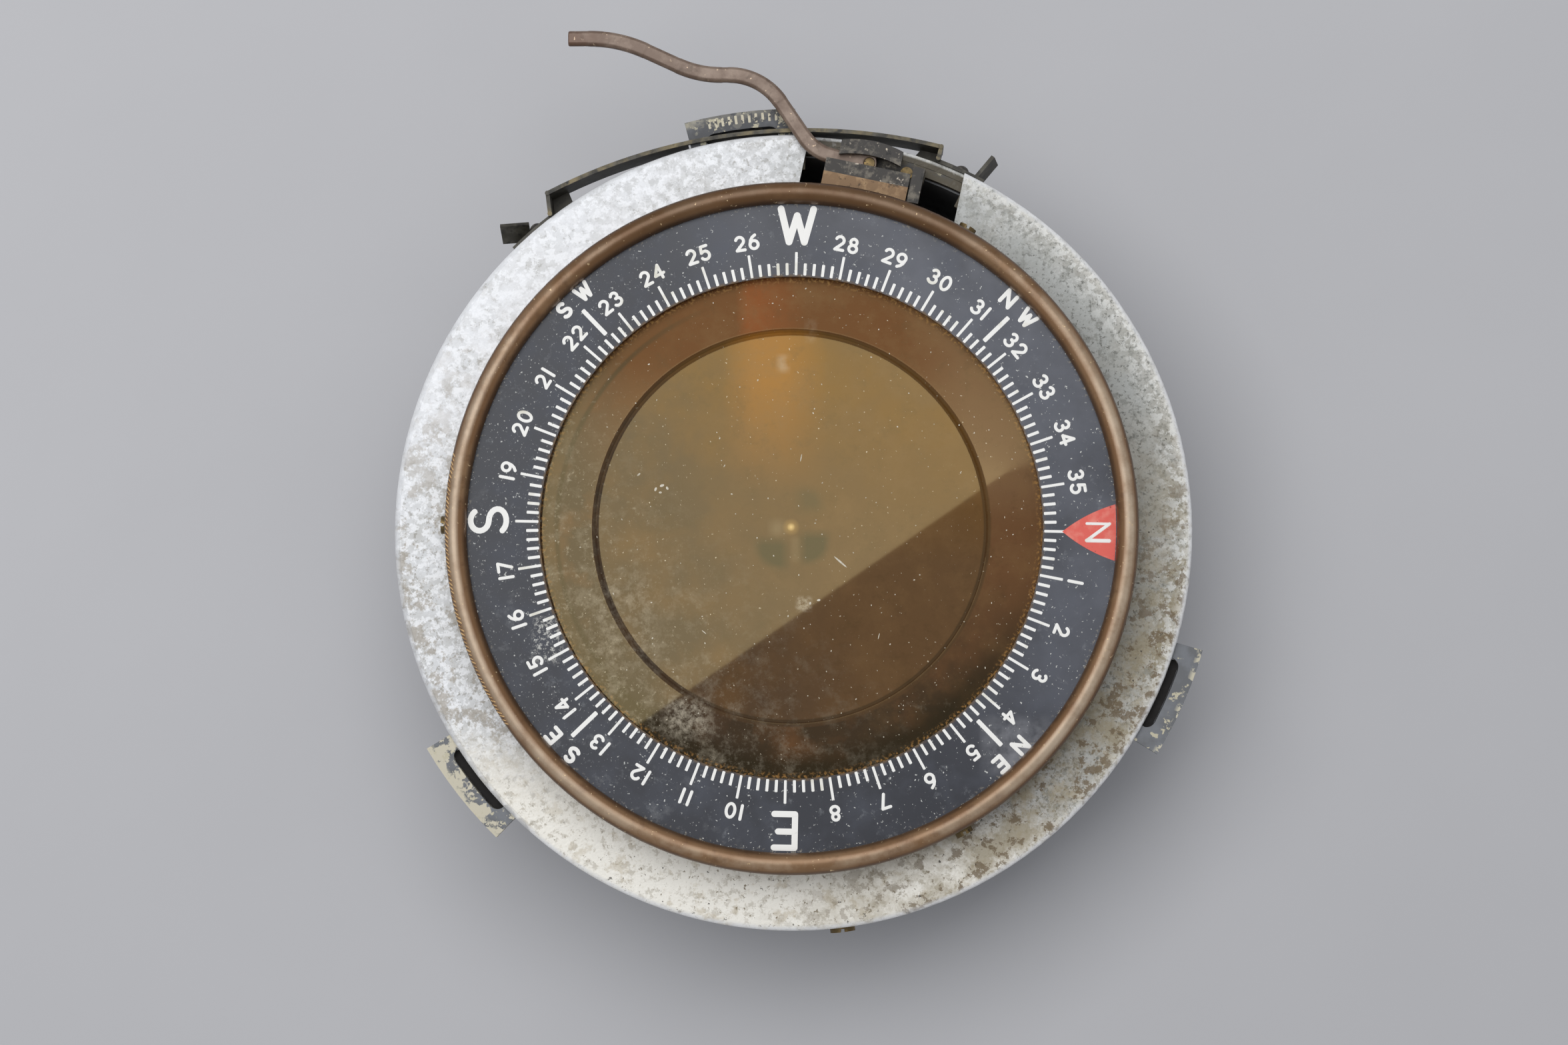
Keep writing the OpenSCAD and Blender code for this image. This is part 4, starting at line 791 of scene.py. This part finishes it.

# A black strip of the rubber finish lies low in each lug slot, a dark sheet standing in for the deep shade there;
# angles and span in degrees
slotShade = {"angles": (97.2, 218.5, 335.9), "span": 10.4, "inner": 74.7 * mm, "outer": 78.0 * mm, "low": 36.25 * mm,
          "top": 37.0 * mm, "cuts": 9}
strips = []
for angle in slotShade["angles"]:
    clearSelection()
    bpy.ops.mesh.primitive_cube_add(size=1, location=(0, 0, 0))
    strip = bpy.context.object
    bpy.ops.object.mode_set(mode="EDIT")
    bpy.ops.mesh.select_all(action="SELECT")
    bpy.ops.mesh.subdivide(number_cuts=slotShade["cuts"])
    bpy.ops.object.mode_set(mode="OBJECT")
    for vert in strip.data.vertices:  # the block's length laid round the slot
        turn = math.radians(angle + vert.co.x * slotShade["span"])
        reach = slotShade["inner"] + (vert.co.y + 0.5) * (slotShade["outer"] - slotShade["inner"])
        high = slotShade["low"] + (vert.co.z + 0.5) * (slotShade["top"] - slotShade["low"])
        vert.co = (reach * math.cos(turn), reach * math.sin(turn), high)
    bpy.ops.object.mode_set(mode="EDIT")
    bpy.ops.mesh.select_all(action="SELECT")
    bpy.ops.mesh.normals_make_consistent(inside=False)
    bpy.ops.object.mode_set(mode="OBJECT")
    strips.append(strip)
takeUp(joinUp(strips), "slotShadeStrips", sealRubber, "case")
print("shadeStrips", len(strips))

floorSize = {"half": 3.0}
clearSelection()
bpy.ops.mesh.primitive_plane_add(size=2 * floorSize["half"], location=(0, 0, 0))
floor = bpy.context.object
floor.name = "paleFloor"
floor.data.materials.append(makeFinish(
    "paleStudioFloor", "#bdbdc0", roughness=0.8,  # matt paper, hardly any tone
    layers=[{"tone": "#bfbfc2", "size": 60, "low": 0.4, "high": 0.7}]))

# Camera: 70 mm lens on a 36 mm frame, a little below and right of the axis
view = {"target": (-1.52 * mm, 1.28 * mm, 40 * mm), "spot": (15.24 * mm, -35.4 * mm, 620.24 * mm), "lens": 70.0,
        "sensor": 36.0}
camData = bpy.data.cameras.new("camera")
camData.lens = view["lens"]
camData.sensor_width = view["sensor"]
camera = bpy.data.objects.new("camera", camData)
bpy.context.scene.collection.objects.link(camera)
back = (Vector(view["spot"]) - Vector(view["target"])).normalized()
up = (Vector((0, 1, 0)) - back * back.y).normalized()
right = up.cross(back)
turned = Matrix((right, up, back)).transposed().to_4x4()
camera.matrix_world = Matrix.Translation(view["spot"]) @ turned
bpy.context.scene.camera = camera

# Soft panel above left: its near edge is what shows as the diagonal in the glass
panel = {"edge": (-0.4 * mm, 26.7 * mm, 947 * mm), "turn": 34.4, "long": 1.1, "deep": 0.75, "power": 7.0}
panelData = bpy.data.lights.new("softPanel", "AREA")
panelData.shape = "RECTANGLE"
panelData.size = panel["long"]
panelData.size_y = panel["deep"]
panelData.energy = panel["power"]
softPanel = bpy.data.objects.new("softPanel", panelData)
bpy.context.scene.collection.objects.link(softPanel)
softPanel.matrix_world = (Matrix.Translation(panel["edge"]) @ Matrix.Rotation(math.radians(panel["turn"]), 4, "Z")
                          @ Matrix.Translation((0, panel["deep"] / 2, 0)))

sky = {"colour": "#eef0f4", "strength": 0.48}  # even light from all round
world = bpy.data.worlds.new("studio")
bpy.context.scene.world = world
world.use_nodes = True
background = world.node_tree.nodes["Background"]
background.inputs["Color"].default_value = hexColour(sky["colour"])
background.inputs["Strength"].default_value = sky["strength"]
print("floor, camera and light")
